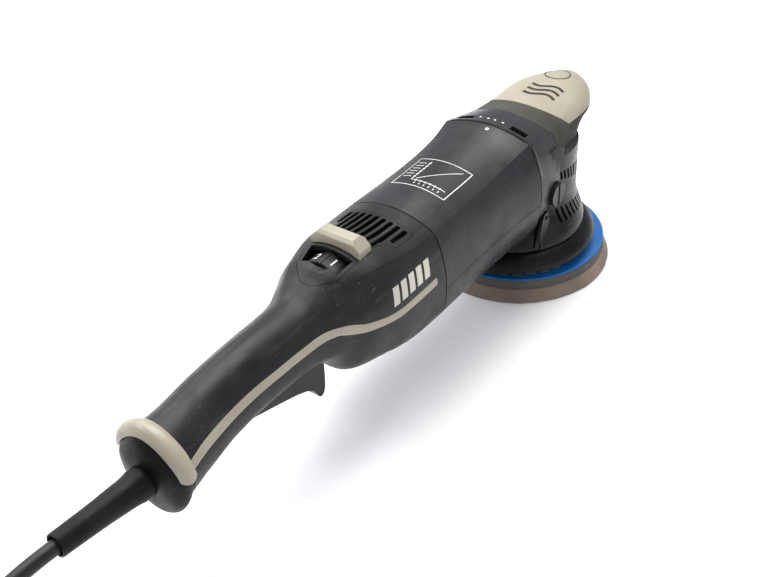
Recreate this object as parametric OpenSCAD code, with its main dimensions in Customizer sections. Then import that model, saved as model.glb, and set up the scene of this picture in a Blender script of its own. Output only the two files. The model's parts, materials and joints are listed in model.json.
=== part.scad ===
// Dual action (random orbital) polisher with a corded motor, a paddle trigger and a speed dial.
// The origin is on the main spindle's axis, on the surface that the pad rests on.
// +X points to the nose, +Y to the left and +Z up. Sizes are millimetres.

/* [Pad] */
// Diameter of the polishing pad at its working face
pad_d = 134; // [120:1:170]
// Diameter of the backing plate
plate_d = 125; // [115:1:160]
// Thickness of the polishing pad
pad_t = 9.3; // [6:0.1:11]
// Thickness of the foam on the backing plate
foam_t = 6.9; // [5:0.1:9]
// Distance between the main spindle's axis and the pad's axis, half the orbit
throw = 7.5; // [4:0.5:9]

/* [Body] */
// Length of the motor housing
motor_len = 105; // [95:1:140]
// Length of the swollen body behind the motor housing
belly_len = 90; // [86:1:120]
// Length of the grip
grip_len = 104; // [85:1:140]
// Wall of the plastic shells
wall = 3; // [2:0.1:3.6]
// Width of the pale trim strip
trim_w = 5; // [3:0.5:7]

/* [Head] */
// Radius of the neck around the spindle
neck_r = 42; // [40:0.5:46]
// Thickness of the rubber and plastic covers on the nose
cover_t = 3; // [2:0.1:4]
// Diameter of the plugs in the side handle bosses
plug_d = 17; // [12:0.5:18]
// Number of cooling slots on each side of the neck
neck_slots = 9; // [5:1:10]

/* [Motor] */
// Outer radius of the stator
stator_r = 32; // [28:0.5:33]
// Radius of the armature core
core_r = 20; // [16:0.5:22]
// Length of the stator and armature stacks
stack_len = 54; // [40:1:60]
// Radius of the cooling fan
fan_r = 28; // [22:0.5:28]
// Teeth on the motor pinion
pinion_teeth = 9; // [9:1:9]
// Teeth on the crown gear
crown_teeth = 36; // [36:1:36]
// Radial running clearance of shafts in their bearings
run_fit = 0.03; // [0.02:0.01:0.06]

/* [Controls] */
// Radius of the speed dial
dial_r = 14; // [11:0.5:16]
// Width of the speed dial
dial_w = 11; // [8:0.5:13]
// Width of the paddle trigger
trigger_w = 20; // [14:0.5:24]
// Clearance on each side of the trigger and the dial
side_gap = 0.6; // [0.4:0.1:1]

/* [Cord] */
// Diameter of the power cord
cord_d = 8; // [6:0.2:10]
// Middle radius of the stored coil
coil_r = 48; // [44:1:60]

/* [Hidden] */
$fn = 64;

// ---- Stations -----------------------------------------------------------------------------
front_seam = -34.5;
rear_seam = front_seam - motor_len;
grip_start = rear_seam - belly_len;
grip_end = grip_start - grip_len;
motor_z = 79;

// A station is [x, crown height, crease half width, crease height, greatest half width,
// its height, bottom height, exponent of the bottom curve, height of the shell parting].
BODY = [
    [front_seam, 124, 31.7, 117.4, 42.3, 80, 36, 2.5, 84],
    [front_seam - motor_len * 0.2, 120.6, 29.6, 113.4, 40, 79, 36, 2.5, 84],
    [front_seam - motor_len * 0.5, 118.2, 29, 110.6, 38.4, 78, 36, 2.5, 84],
    [rear_seam, 117.4, 30.2, 109.4, 37.9, 76, 36, 2.5, 84]];
REAR = [
    [rear_seam, 117.4, 30.2, 109.4, 37.9, 76, 36, 2.5, 84],
    [rear_seam - belly_len * 0.28, 118.6, 28.6, 110.6, 37.8, 77, 36.5, 2.4, 83.2],
    [rear_seam - belly_len * 0.53, 120.8, 26, 113, 36.6, 80, 37, 1.9, 83.2],
    [rear_seam - belly_len * 0.75, 117.5, 22, 109.5, 32.6, 85, 42.5, 1.9, 87],
    [rear_seam - belly_len * 0.86, 112, 18.8, 105.2, 27.6, 88.5, 56, 2, 90.2],
    [grip_start, 107.2, 15.8, 100.6, 22.2, 87.5, 62.5, 2, 91.2],
    [grip_start - grip_len * 0.15, 106.4, 14.6, 99.3, 19.8, 86, 64, 2, 90.4],
    [grip_start - grip_len * 0.32, 106.4, 14.2, 99.2, 19.1, 85.5, 64.4, 2, 90.2],
    [grip_start - grip_len * 0.51, 105.4, 14.2, 98.1, 19.1, 84.6, 64.3, 2, 90.2],
    [grip_start - grip_len * 0.68, 103, 14.4, 95.7, 19.4, 82.2, 62.3, 2, 88.6],
    [grip_start - grip_len * 0.86, 99.4, 15.2, 91.7, 20.4, 78, 57.6, 2, 85.2],
    [grip_end, 98, 16.4, 90, 21.6, 75.5, 53, 2, 81.6]];
HEAD = [
    [front_seam, 124, 31.7, 117.4, 42.3, 80, 40, 2.5, 64],
    [-20, 122.8, 31.4, 115, 41.5, 80, 46, 2.5, 64],
    [-4.5, 121, 30.5, 111.8, 40.4, 82, 55, 2.5, 64],
    [8, 119.8, 28.5, 111.8, 39, 86, 68, 2.3, 64],
    [20, 119.5, 26.8, 112.8, 36.2, 94, 82, 2, 64],
    [30, 119.5, 25.4, 114.2, 33.4, 102, 87, 1.9, 64],
    [40, 119.6, 24.2, 115, 31.8, 106, 90, 1.8, 64],
    [50, 119.6, 22.6, 115.2, 30.2, 106.5, 90, 1.8, 64],
    [60, 119.3, 19, 115, 26.4, 107, 92.4, 1.9, 64],
    [70, 118, 14, 114.5, 20.4, 107.6, 96, 2, 64],
    [78, 115.6, 9, 113, 13.2, 108, 100.6, 2, 64],
    [82.6, 112.8, 4.6, 111.2, 6.8, 108.4, 104.4, 2, 64]];
nose_tip = [84.6, 0, 109];
BUMPER = [
    [grip_end - 0.02, 97.8, 16.2, 89.8, 21.4, 75.5, 53, 2, 79.6],
    [grip_end - 2.6, 98, 16.4, 90, 22.6, 76, 49, 2, 79.6],
    [grip_end - 5.4, 97.4, 16.4, 89.4, 23, 76, 46.8, 2, 79.6],
    [grip_end - 8.2, 95.8, 15.8, 88, 22.2, 75.5, 47.6, 2, 79.6],
    [grip_end - 10.8, 92.4, 14, 85.4, 19.6, 75, 51, 2, 79.6],
    [grip_end - 13, 87, 9.8, 82.5, 14, 74, 59, 2, 79.6]];
// ---- Shared functions ---------------------------------------------------------------------
function slope(t, i, c) = i == 0 ? (t[1][c] - t[0][c]) / (t[1][0] - t[0][0])
    : i == len(t) - 1 ? (t[i][c] - t[i - 1][c]) / (t[i][0] - t[i - 1][0])
    : (t[i + 1][c] - t[i - 1][c]) / (t[i + 1][0] - t[i - 1][0]);
// One value of a station table at x, on a smooth cubic through its stations
function blend(t, x, c, i) = let (h = t[i + 1][0] - t[i][0], u = (x - t[i][0]) / h)
    (2 * pow(u, 3) - 3 * u * u + 1) * t[i][c] + (pow(u, 3) - 2 * u * u + u) * h * slope(t, i, c)
    + (3 * u * u - 2 * pow(u, 3)) * t[i + 1][c] + (pow(u, 3) - u * u) * h * slope(t, i + 1, c);
function falling(t) = t[0][0] > t[1][0] ? t : reversed(t);
function span(f, x, i = 0) = i >= len(f) - 2 || x >= f[i + 1][0] ? i : span(f, x, i + 1);
function station(t, x) = let (f = falling(t), i = span(f, x))
    [x, for (c = [1:8]) blend(f, x, c, i)];
// The station drawn in by a wall thickness t
function inset(s, t) = [s[0], s[1] - t, s[2] - t * 0.75, s[3] - t * 0.9, s[4] - t, s[5],
    s[6] + t, s[7], s[8]];
// A point of the half outline: k 0 to 1 is the crown, 1 to 2 the flank, 2 to 3 the bottom
function outline(s, k) =
    k <= 1 ? [s[2] * k, s[1] - (s[1] - s[3]) * k * k]
    : k <= 2 ? [s[4] - (s[4] - s[2]) * pow(2 - k, 2.2), s[3] + (s[5] - s[3]) * (k - 1)]
    : let (a = min(90, 90 * (k - 2)))
        [s[4] * pow(max(0, cos(a)), 2 / s[7]), s[5] - (s[5] - s[6]) * pow(sin(a), 2 / s[7])];
// Where a height z on the flank lies along the half outline
function flank_k(s, z) = 1 + (z - s[3]) / (s[5] - s[3]);
// A ring of points from k0 on the left side to k0 on the right, over the top or under the bottom
function ring(s, ks) = [for (k = ks) let (p = outline(s, k)) [s[0], p[0], p[1]],
    for (i = [len(ks) - 1:-1:0]) let (p = outline(s, ks[i])) if (p[0] > 0.001) [s[0], -p[0], p[1]]];
CROWN_KS = [for (i = [0:6]) i / 6];
BOTTOM_KS = [for (i = [0:9]) 2 + i / 9];
function over_ks(k0) = [for (i = [4:-1:1]) 1 + (k0 - 1) * i / 4, for (i = [6:-1:0]) i / 6];
function under_ks(k0) = [for (i = [0:2]) k0 + (2 - k0) * i / 3, for (k = BOTTOM_KS) k];
function between_ks(k0, k1) = [for (i = [0:2]) k0 + (k1 - k0) * i / 2];
FULL_KS = [for (k = CROWN_KS) k, 1.25, 1.5, 1.75, for (k = BOTTOM_KS) k];
// All of one closed outline, once round from the crown down the right side and up the left
function loop(s) = [for (k = FULL_KS) let (p = outline(s, k)) [s[0], -p[0], p[1]],
    for (i = [len(FULL_KS) - 2:-1:1]) let (p = outline(s, FULL_KS[i])) [s[0], p[0], p[1]]];
function reversed(v) = [for (i = [len(v) - 1:-1:0]) v[i]];
function flat(v) = [for (a = v) for (b = a) b];
function quad(a, b, c, d) = [[a, b, c], [a, c, d]];

// A wall between an outer and an inner grid of points, closed at its ends and its edges
module wall_skin(outer, inner, closed = false) {
    m = len(outer);
    n = len(outer[0]);
    w = closed ? n : n - 1;
    function o(i, j) = i * n + j % n;
    function q(i, j) = m * n + i * n + j % n;
    faces = concat(
        [for (i = [0:m - 2], j = [0:w - 1], f = quad(o(i, j), o(i, j + 1), o(i + 1, j + 1),
            o(i + 1, j))) f],
        [for (i = [0:m - 2], j = [0:w - 1], f = quad(q(i, j + 1), q(i, j), q(i + 1, j),
            q(i + 1, j + 1))) f],
        [for (j = [0:w - 1], f = quad(o(0, j + 1), o(0, j), q(0, j), q(0, j + 1))) f],
        [for (j = [0:w - 1], f = quad(o(m - 1, j), o(m - 1, j + 1), q(m - 1, j + 1),
            q(m - 1, j))) f],
        closed ? [] : [for (i = [0:m - 2], f = quad(o(i, 0), o(i + 1, 0), q(i + 1, 0),
            q(i, 0))) f],
        closed ? [] : [for (i = [0:m - 2], f = quad(o(i + 1, n - 1), o(i, n - 1),
            q(i, n - 1), q(i + 1, n - 1))) f]);
    polyhedron(concat(flat(outer), flat(inner)), faces);
}

// A solid through a row of closed rings, with its ends drawn to the points start and finish
module ring_skin(rings, start, finish) {
    m = len(rings);
    n = len(rings[0]);
    last = m * n;
    faces = concat(
        [for (i = [0:m - 2], j = [0:n - 1], f = quad(i * n + j, i * n + (j + 1) % n,
            (i + 1) * n + (j + 1) % n, (i + 1) * n + j)) f],
        [for (j = [0:n - 1]) [last, (j + 1) % n, j]],
        [for (j = [0:n - 1]) [last + 1, (m - 1) * n + j, (m - 1) * n + (j + 1) % n]]);
    polyhedron(concat(flat(rings), [start, finish]), faces);
}

function centre(s) = [s[0], 0, (s[1] + s[6]) / 2];
function steps(a, b, n) = [for (i = [0:n]) a + (b - a) * i / n];
module along_x(x, z, r, l, y = 0) {
    translate([x, y, z]) rotate([0, 90, 0]) cylinder(r = r, h = l);
}
module mirrored() {
    children();
    mirror([0, 1, 0]) children();
}
module pad_side() {
    translate([throw, 0, 0]) children();
}

// ---- Housing ------------------------------------------------------------------------------
stator_x = -100;
rib_t = 10;
screw_r = 2;
hole_r = screw_r + 0.05;
rear_rib_x = stator_x - stack_len / 2;
front_rib_x = stator_x + stack_len / 2 - rib_t;
// Long screws along X at the seams: [y, z]
SEAM_SCREWS = [[22.5, 105.5], [22.5, 52.5]];
HEAD_SCREWS = [[20, 113.5], [34, 71]];
NECK_SCREW_ANGLES = [35, 128, 232, 325];
neck_screw_at = 35.4;
split_z = 64;

// The neck is round at every height and leans forward as it rises: [height, centre, radius]
skirt_r = 49.5;
neck_x = 4.2;
NECK = [[33, 0, skirt_r], [35.4, 0, skirt_r], [36.2, 0.3, skirt_r + 0.9],
    [38.5, 0.8, neck_r + 8.2], [42, 1.6, neck_r + 7.2], [47, 2.8, neck_r + 4.6],
    [52, 3.8, neck_r + 2.2], [57, neck_x, neck_r + 0.6], [61, neck_x, neck_r],
    [split_z, neck_x, neck_r]];
module neck_loft(gap = 0) {
    rings = [for (s = reversed(NECK)) [for (i = [0:47]) let (a = i * 7.5)
        [s[1] + (s[2] + gap) * cos(a), (s[2] + gap) * sin(a), s[0]]]];
    ring_skin(rings, [neck_x, 0, split_z], [0, 0, NECK[0][0]]);
}
module neck_space(gap = 0.25) {
    neck_loft(gap);
    translate([0, 0, 20]) cylinder(r = skirt_r + gap, h = 14);
}
module body_tube(t0, t1, table, x0, x1, n) {
    xs = steps(x0, x1, n);
    wall_skin([for (x = xs) loop(inset(station(table, x), t0))],
        [for (x = xs) loop(inset(station(table, x), t1))], true);
}
module body_solid(t, table, x0, x1, n) {
    xs = steps(x0, x1, n);
    ring_skin([for (x = xs) loop(inset(station(table, x), t))],
        centre(station(table, x0)), centre(station(table, x1)));
}
module seam_screw_places(list) {
    for (p = list) for (s = [-1, 1]) translate([0, s * p[0], p[1]]) children();
}

module motor_housing() {
    color([0.23, 0.24, 0.25]) difference() {
        union() {
            body_tube(0, wall, BODY, front_seam - 0.1, rear_seam + 0.1, 4);
            // Ribs that hold the stator
            for (x = [rear_rib_x, front_rib_x]) difference() {
                body_solid(wall - 0.6, BODY, x + rib_t, x, 1);
                along_x(x - 1, motor_z, stator_r + 0.02, rib_t + 2);
            }
            // Screw bosses at the front
            seam_screw_places(HEAD_SCREWS)
                along_x(front_seam - 12, 0, screw_r + 2.4, 11.8);
        }
        seam_screw_places(HEAD_SCREWS) along_x(front_seam - 13, 0, hole_r, 14);
        seam_screw_places(SEAM_SCREWS) along_x(rear_rib_x - 1, 0, hole_r, rib_t + 2);
        neck_space();
    }
}

module motor_flange() {
    color([0.62, 0.63, 0.64]) difference() {
        union() {
            body_solid(wall + 0.1, BODY, front_seam - 2, front_seam - 6, 1);
            along_x(front_seam - 9.6, motor_z, 18, 8);
        }
        along_x(front_seam - 10, motor_z, 15.02, 9.2);
        along_x(front_seam - 12, motor_z, 12, 14);
        seam_screw_places(HEAD_SCREWS) along_x(front_seam - 14, 0, screw_r + 2.6, 14);
        for (a = [60, 100, 140, 220, 260, 300]) translate([front_seam - 8, 0, motor_z])
            rotate([a, 0, 0]) translate([0, 0, -25.5]) rotate([0, 90, 0]) cylinder(r = 4, h = 8);
        neck_space(0.5);
    }
}

// The nose and the top of the head, drawn in by t
module head_loft(t) {
    xs = concat(steps(front_seam, 20, 6), [30, 40, 50, 56, 62, 68, 73, 77, 80.4, 82.6]);
    ring_skin([for (i = [len(xs) - 1:-1:0]) loop(inset(station(HEAD, xs[i]), t))],
        nose_tip - [t, 0, 0], centre(station(HEAD, front_seam)));
}
grip_z = 97;
cap_z = 107.5;
module across(points) {
    rotate([90, 0, 0]) linear_extrude(height = 100, center = true) polygon(points);
}
module grip_region() {
    across([[-12, 125], [-2.6, 109], [-4.5, grip_z], [95, grip_z], [95, 125]]);
}
module cap_region(gap = 0) {
    across([[3.4 - gap, 125], [19 - gap, cap_z - gap], [95, cap_z - gap], [95, 125]]);
}
chamber_r = 33;
boss_x = -14;
boss_z = 73;
boss_end = neck_r - 0.5;
module gear_housing() {
    color([0.2, 0.21, 0.22]) difference() {
        union() {
            intersection() {
                head_loft(0);
                translate([-50, -60, split_z]) cube([150, 120, 80]);
            }
            intersection() {
                translate([neck_x, 0, split_z]) cylinder(r = neck_r, h = grip_z - split_z + 6);
                translate([front_seam, -60, 0]) cube([120, 120, 150]);
            }
            mirrored() translate([boss_x, 0, boss_z]) rotate([-90, 0, 0])
                cylinder(r = plug_d / 2 + 0.5, h = boss_end);
        }
        difference() {
            grip_region();
            head_loft(cover_t + 0.12);
        }
        translate([nose_tip[0] - 8, -20, 90]) cube([20, 40, 40]);
        // Gear chamber, with the upper bearing's seat in its roof
        translate([0, 0, 50]) cylinder(r = chamber_r, h = 47);
        cylinder(r = 9, h = 106);
        translate([0, 0, 99]) cylinder(r = 11.02, h = 7.3);
        along_x(front_seam - 1, motor_z, 16, 20);
        mirrored() translate([boss_x, chamber_r - 2, boss_z]) rotate([-90, 0, 0])
            cylinder(r = 4.05, h = 20);
        seam_screw_places(HEAD_SCREWS) along_x(front_seam - 1, 0, hole_r, 7);
        seam_screw_places([HEAD_SCREWS[0]]) along_x(front_seam + 3.5, 0, 4.2, 12);
        seam_screw_places([HEAD_SCREWS[1]]) along_x(front_seam + 3.5, 0, 4.2, 6);
        // Windows over the heads of the top screws
        seam_screw_places([HEAD_SCREWS[0]])
            translate([front_seam + 3.5, -6, 0]) cube([5.5, 12, 20]);
        for (a = NECK_SCREW_ANGLES) rotate([0, 0, a]) translate([neck_screw_at, 0, 60])
            cylinder(r = hole_r, h = 16);
        neck_slot_cuts(-104, 5.3, [79.5, 70], [86, 84], neck_r - 3);
    }
}
// Slanted cooling slots round both sides of the neck, from radius r outwards. Their lower and
// upper ends run from the first to the second value from the rearmost slot to the foremost.
module neck_slot_cuts(start, pitch, low, high, r) {
    mirrored() translate([neck_x, 0, 0]) for (i = [0:neck_slots - 1])
        let (f = i / (neck_slots - 1), z0 = low[0] + (low[1] - low[0]) * f,
            z1 = high[0] + (high[1] - high[0]) * f)
        rotate([0, 0, start + pitch * i]) translate([r, 0, (z0 + z1) / 2]) rotate([12, 0, 0])
        translate([0, -1.05, -(z1 - z0) / 2]) cube([20, 2.1, z1 - z0]);
}
module nose_shell() {
    difference() {
        head_loft(0);
        head_loft(cover_t);
    }
}
module nose_grip() {
    color([0.37, 0.36, 0.33]) difference() {
        intersection() {
            nose_shell();
            grip_region();
        }
        cap_region();
    }
}
module nose_cap() {
    color([0.8, 0.77, 0.68]) intersection() {
        nose_shell();
        cap_region(-0.05);
    }
}
module neck_housing() {
    color([0.1, 0.11, 0.12]) difference() {
        neck_loft();
        rotate_extrude()
            polygon([[0, 30], [46, 30], [46, 34], [43, 39], [39, 45], [37, 50], [0, 50]]);
        translate([0, 0, 62.2]) cylinder(r = chamber_r, h = 5);
        translate([0, 0, 45]) cylinder(r = 14.5, h = 20);
        translate([0, 0, 52]) cylinder(r = 17.52, h = 20);
        for (a = NECK_SCREW_ANGLES) rotate([0, 0, a]) translate([neck_screw_at, 0, 40]) {
            cylinder(r = hole_r, h = 30);
            cylinder(r = 4.2, h = 14);
        }
        neck_slot_cuts(-107.5, 6.6, [48, 45.5], [58.5, 54], neck_r - 2.5);
    }
}
module side_plugs() {
    color([0.09, 0.09, 0.1]) mirrored() translate([boss_x, 0, boss_z]) rotate([-90, 0, 0])
        difference() {
            union() {
                translate([0, 0, boss_end + 0.05]) cylinder(r = plug_d / 2, h = 2.6);
                translate([0, 0, chamber_r]) cylinder(r = 4, h = boss_end - chamber_r + 1);
            }
            translate([-1, -10, boss_end + 1.4]) cube([2, 20, 3]);
        }
}
module shroud_skirt() {
    color([0.07, 0.07, 0.08]) rotate_extrude()
        polygon([[49.55, 35.2], [51.5, 35], [54.6, 33.2], [57.2, 30.6], [58.6, 27.6], [58.2, 24.6],
            [56.4, 22.6], [55.2, 23], [55.2, 26.6], [53.8, 29.6], [51.5, 31.6], [49.55, 32.6]]);
}
module shroud_ring() {
    color([0.08, 0.08, 0.09]) difference() {
        rotate_extrude()
            polygon([[46.2, 32.95], [49, 32.95], [49, 22.3], [55.6, 22.3], [55.6, 20.7],
                [46.2, 20.7]]);
        for (i = [0:35]) rotate([0, 0, i * 10]) translate([53.4, -1.4, 19])
            cube([6, 2.8, 6]);
    }
}
module shroud_clips() {
    color([0.13, 0.13, 0.14]) difference() {
        mirrored() translate([-24.5, 0, 0]) rotate([90, 0, 0]) translate([0, 0, 38])
            difference() {
                linear_extrude(height = 2.4) polygon([[-1, 62.5], [3, 62.5], [5.5, 54],
                    [-4, 36.5], [-9.5, 38], [-4, 58]]);
                translate([1, 58.5, -1]) cylinder(r = 1.7, h = 5);
            }
        neck_loft(0.02);
    }
}

// ---- Handle -------------------------------------------------------------------------------
shell_xs = concat(steps(rear_seam - 0.1, grip_start, 7), steps(grip_start - grip_len * 0.12,
    grip_end, 8));
trim_start = rear_seam - 9;
function trim_half(x) = x > trim_start ? 0.02 : trim_w / 2 + 0.03;
TRIM_XS = [for (x = shell_xs) if (x < trim_start) x];
module handle_shell(upper) {
    xs = concat([shell_xs[0], trim_start + 0.6, trim_start - 0.6], TRIM_XS);
    function rows(t) = [for (x = xs) let (s = inset(station(REAR, x), t), z = s[8])
        upper ? ring(s, over_ks(flank_k(s, z + trim_half(x))))
            : reversed(ring(s, under_ks(flank_k(s, z - trim_half(x)))))];
    wall_skin(rows(0), rows(wall));
}
module trim_strips() {
    xs = concat([trim_start - 0.8], TRIM_XS);
    function side(t) = [for (x = xs) let (s = inset(station(REAR, x), t), z = s[8])
        [for (k = between_ks(flank_k(s, z - trim_w / 2), flank_k(s, z + trim_w / 2)))
            let (p = outline(s, k)) [s[0], p[0], p[1]]]];
    color([0.72, 0.7, 0.6]) mirrored() wall_skin(side(-0.35), side(wall));
}
// Screw posts between the shells: [x, y, height of the screw head's seat]
HANDLE_POSTS = [[rear_seam - 42, 24, 62], [grip_end + 30, 0, 66], [grip_end + 8, 8, 62]];
handle_screw_len = 29;
post_split = 21.5;
module post_places() {
    for (p = HANDLE_POSTS) for (s = p[1] == 0 ? [1] : [-1, 1])
        translate([p[0], s * p[1], p[2]]) children();
}
// Screw posts inside the handle, between two heights measured from the screw head's seat
module posts(z0, z1) {
    intersection() {
        body_solid(wall - 0.6, REAR, rear_seam - 1, grip_end + 1, 14);
        post_places() translate([0, 0, z0]) cylinder(r = 4.5, h = z1 - z0);
    }
}
dial_x = rear_seam - belly_len * 0.683;
dial_z = 104.5;
grille_x0 = rear_seam - belly_len * 0.455;
grille_x1 = rear_seam - belly_len * 0.12;
module grille_outline(g = 0) {
    offset(delta = g) polygon([[grille_x1, -22], [grille_x1 - 2, -24], [grille_x1 - 17, -24],
        [grille_x1 - 20, -18], [grille_x0, -16], [grille_x0, 16], [grille_x1 - 20, 18],
        [grille_x1 - 17, 24], [grille_x1 - 2, 24], [grille_x1, 22]]);
}
module bezel_outline(g = 0) {
    offset(delta = g) polygon([[grille_x0 - 0.5, -16], [dial_x + 8, -17], [dial_x - 8, -15],
        [dial_x - 15, -8], [dial_x - 18, -3], [dial_x - 18, 3], [dial_x - 15, 8],
        [dial_x - 8, 15], [dial_x + 8, 17], [grille_x0 - 0.5, 16]]);
}
module crown_skin(t0, t1) {
    body_tube(t0, t1, REAR, rear_seam - 4, grip_start, 9);
}
module inlay(t0 = 0) {
    intersection() {
        crown_skin(t0, wall);
        translate([0, 0, 90]) linear_extrude(height = 40) children();
    }
}
module handle_upper_shell() {
    color([0.16, 0.17, 0.18]) difference() {
        union() {
            handle_shell(true);
            posts(post_split + 0.1, 60);
            front_bosses(SEAM_SCREWS[0], 104, 111);
        }
        post_places() cylinder(r = hole_r, h = handle_screw_len + 1);
        translate([0, 0, 80]) linear_extrude(height = 50) grille_outline(0.05);
        translate([0, 0, 80]) linear_extrude(height = 50) bezel_outline(0.05);
        seam_screw_places([SEAM_SCREWS[0]]) along_x(rear_seam - 20, 0, hole_r, 22);
    }
}
// Bosses for the screws into the motor housing, with a web to the shell
module front_bosses(p, z0, z1) {
    intersection() {
        body_solid(wall - 0.6, REAR, rear_seam - 0.5, rear_seam - 12, 1);
        for (s = [-1, 1]) {
            translate([0, s * p[0], p[1]]) along_x(rear_seam - 12, 0, 4.4, 12);
            translate([rear_seam - 12, s * p[0] - 2, z0]) cube([12, 4, z1 - z0]);
        }
    }
}
pivot = [grip_start - 50, 76];
trigger_front = grip_start + 8;
slot_half = trigger_w / 2 + side_gap;
module handle_lower_shell() {
    color([0.15, 0.16, 0.17]) difference() {
        union() {
            handle_shell(false);
            posts(-40, post_split);
            front_bosses(SEAM_SCREWS[1], 40, 52);
            // Ears for the trigger pin
            for (s = [-1, 1]) translate([pivot[0] - 5, s * (slot_half + 1.5) - 1.5, 71])
                cube([10, 3, pivot[1] - 66]);
        }
        post_places() {
            cylinder(r = hole_r, h = handle_screw_len + 1);
            translate([0, 0, -40]) cylinder(r = 4.1, h = 40);
        }
        seam_screw_places([SEAM_SCREWS[1]]) along_x(rear_seam - 20, 0, hole_r, 22);
        translate([pivot[0] - 7, -slot_half, 20])
            cube([trigger_front - pivot[0] + 11, 2 * slot_half, 60]);
        translate([pivot[0], 0, pivot[1]]) rotate([90, 0, 0])
            cylinder(r = 2.02, h = 60, center = true);
    }
}
module end_arch() {
    rows = [[grip_end + 1.6, 0.3], [grip_end + 0.8, 0.75], [grip_end - 0.8, 1],
        [grip_end - 4.2, 1], [grip_end - 6.6, 0.85], [grip_end - 8.2, 0.5]];
    function shape(x) = x > grip_end ? station(REAR, x) : station(BUMPER, x);
    function row(x, t) = let (s = inset(shape(x), t)) ring(s, over_ks(flank_k(s, 79.6)));
    color([0.75, 0.72, 0.62])
        wall_skin([for (r = rows) row(r[0], -4.4 * r[1])],
            [for (r = rows) row(r[0], -0.45)]);
}
relief_z = 73;
relief_tilt = 5.6;
module relief_place() {
    translate([grip_end - 9, 0, relief_z - 0.8]) rotate([0, -90 + relief_tilt, 0]) children();
}
module rear_bumper() {
    color([0.06, 0.06, 0.07]) difference() {
        ring_skin([for (b = BUMPER) loop(b)], centre(BUMPER[0]),
            centre(BUMPER[5]) - [1.5, 0, 0]);
        relief_place() translate([0, 0, -30]) cylinder(r = cord_d / 2 + 5.05, h = 60);
    }
}
module vent_grille() {
    color([0.17, 0.18, 0.19]) difference() {
        inlay() grille_outline();
        for (i = [-4:4]) translate([(abs(i) > 3 ? grille_x1 - 16 : grille_x0 + 2),
            i * 4.9 - 1.5, 90]) cube([(abs(i) > 3 ? 14 : grille_x1 - grille_x0 - 4), 3, 50]);
    }
}
module dial_bezel() {
    color([0.15, 0.16, 0.17]) difference() {
        inlay() bezel_outline();
        translate([0, 0, 80]) linear_extrude(height = 60)
            polygon([[dial_x + dial_w / 2 + side_gap, -dial_r - 0.8],
                [dial_x + dial_w / 2 + side_gap, dial_r + 0.8],
                [dial_x - dial_w / 2 - side_gap, dial_r - 1.4],
                [dial_x - dial_w / 2 - side_gap, 1.4 - dial_r]]);
        translate([dial_x - dial_w / 2 - 9, 0, dial_z]) rotate([0, 90, 0])
            cylinder(r1 = 9, r2 = dial_r + 0.6, h = 9);
    }
}
bar_x = grille_x0 - 6.5;
bar_z = 121.3;
module dial_guard() {
    color([0.8, 0.77, 0.68]) difference() {
        translate([bar_x - 5.2, 0, bar_z]) rotate([90, 0, 90]) linear_extrude(height = 10.4)
            polygon([[-17.4, -7], [-17.4, 0], [-12, 6], [12, 6], [17.4, 0], [17.4, -7]]);
        body_solid(-0.05, REAR, bar_x + 9, bar_x - 9, 3);
        translate([bar_x + 5.2, 0, bar_z + 6]) rotate([0, 45, 0]) cube([3, 50, 3], center = true);
        translate([bar_x - 5.2, 0, bar_z + 6]) rotate([0, 45, 0]) cube([3, 50, 3], center = true);
    }
}

// ---- Motor --------------------------------------------------------------------------------
air_gap = 0.7;
comm_r = 12;
brush_x = rear_seam - 11.5;
rear_bearing_x = rear_seam - 30.5;
shaft_r = 5;
journal_r = 4;
// Parts that turn about the motor's axis, drawn with their own axis along X
module on_motor(x) {
    translate([x, 0, motor_z]) rotate([0, 90, 0]) children();
}
module tube(r, bore, h) {
    difference() {
        cylinder(r = r, h = h);
        translate([0, 0, -1]) cylinder(r = bore, h = h + 2);
    }
}
module sector(r0, r1, a, h) {
    rotate([0, 0, -a / 2]) rotate_extrude(angle = a) translate([r0, 0]) square([r1 - r0, h]);
}
module stator_core() {
    color([0.42, 0.42, 0.43]) on_motor(stator_x - stack_len / 2) {
        difference() {
            cylinder(r = stator_r, h = stack_len);
            translate([0, 0, -1]) cylinder(r = core_r + air_gap, h = stack_len + 2);
            // Slots for the field windings, on both sides of each pole
            for (a = [0, 180]) rotate([0, 0, a]) translate([0, 0, -1])
                sector(core_r + air_gap + 0.8, stator_r - 5, 62, stack_len + 2);
            for (a = [0, 180]) rotate([0, 0, a]) translate([0, 0, -1])
                sector(core_r - 2, stator_r - 8, 44, stack_len + 2);
        }
    }
}
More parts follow.
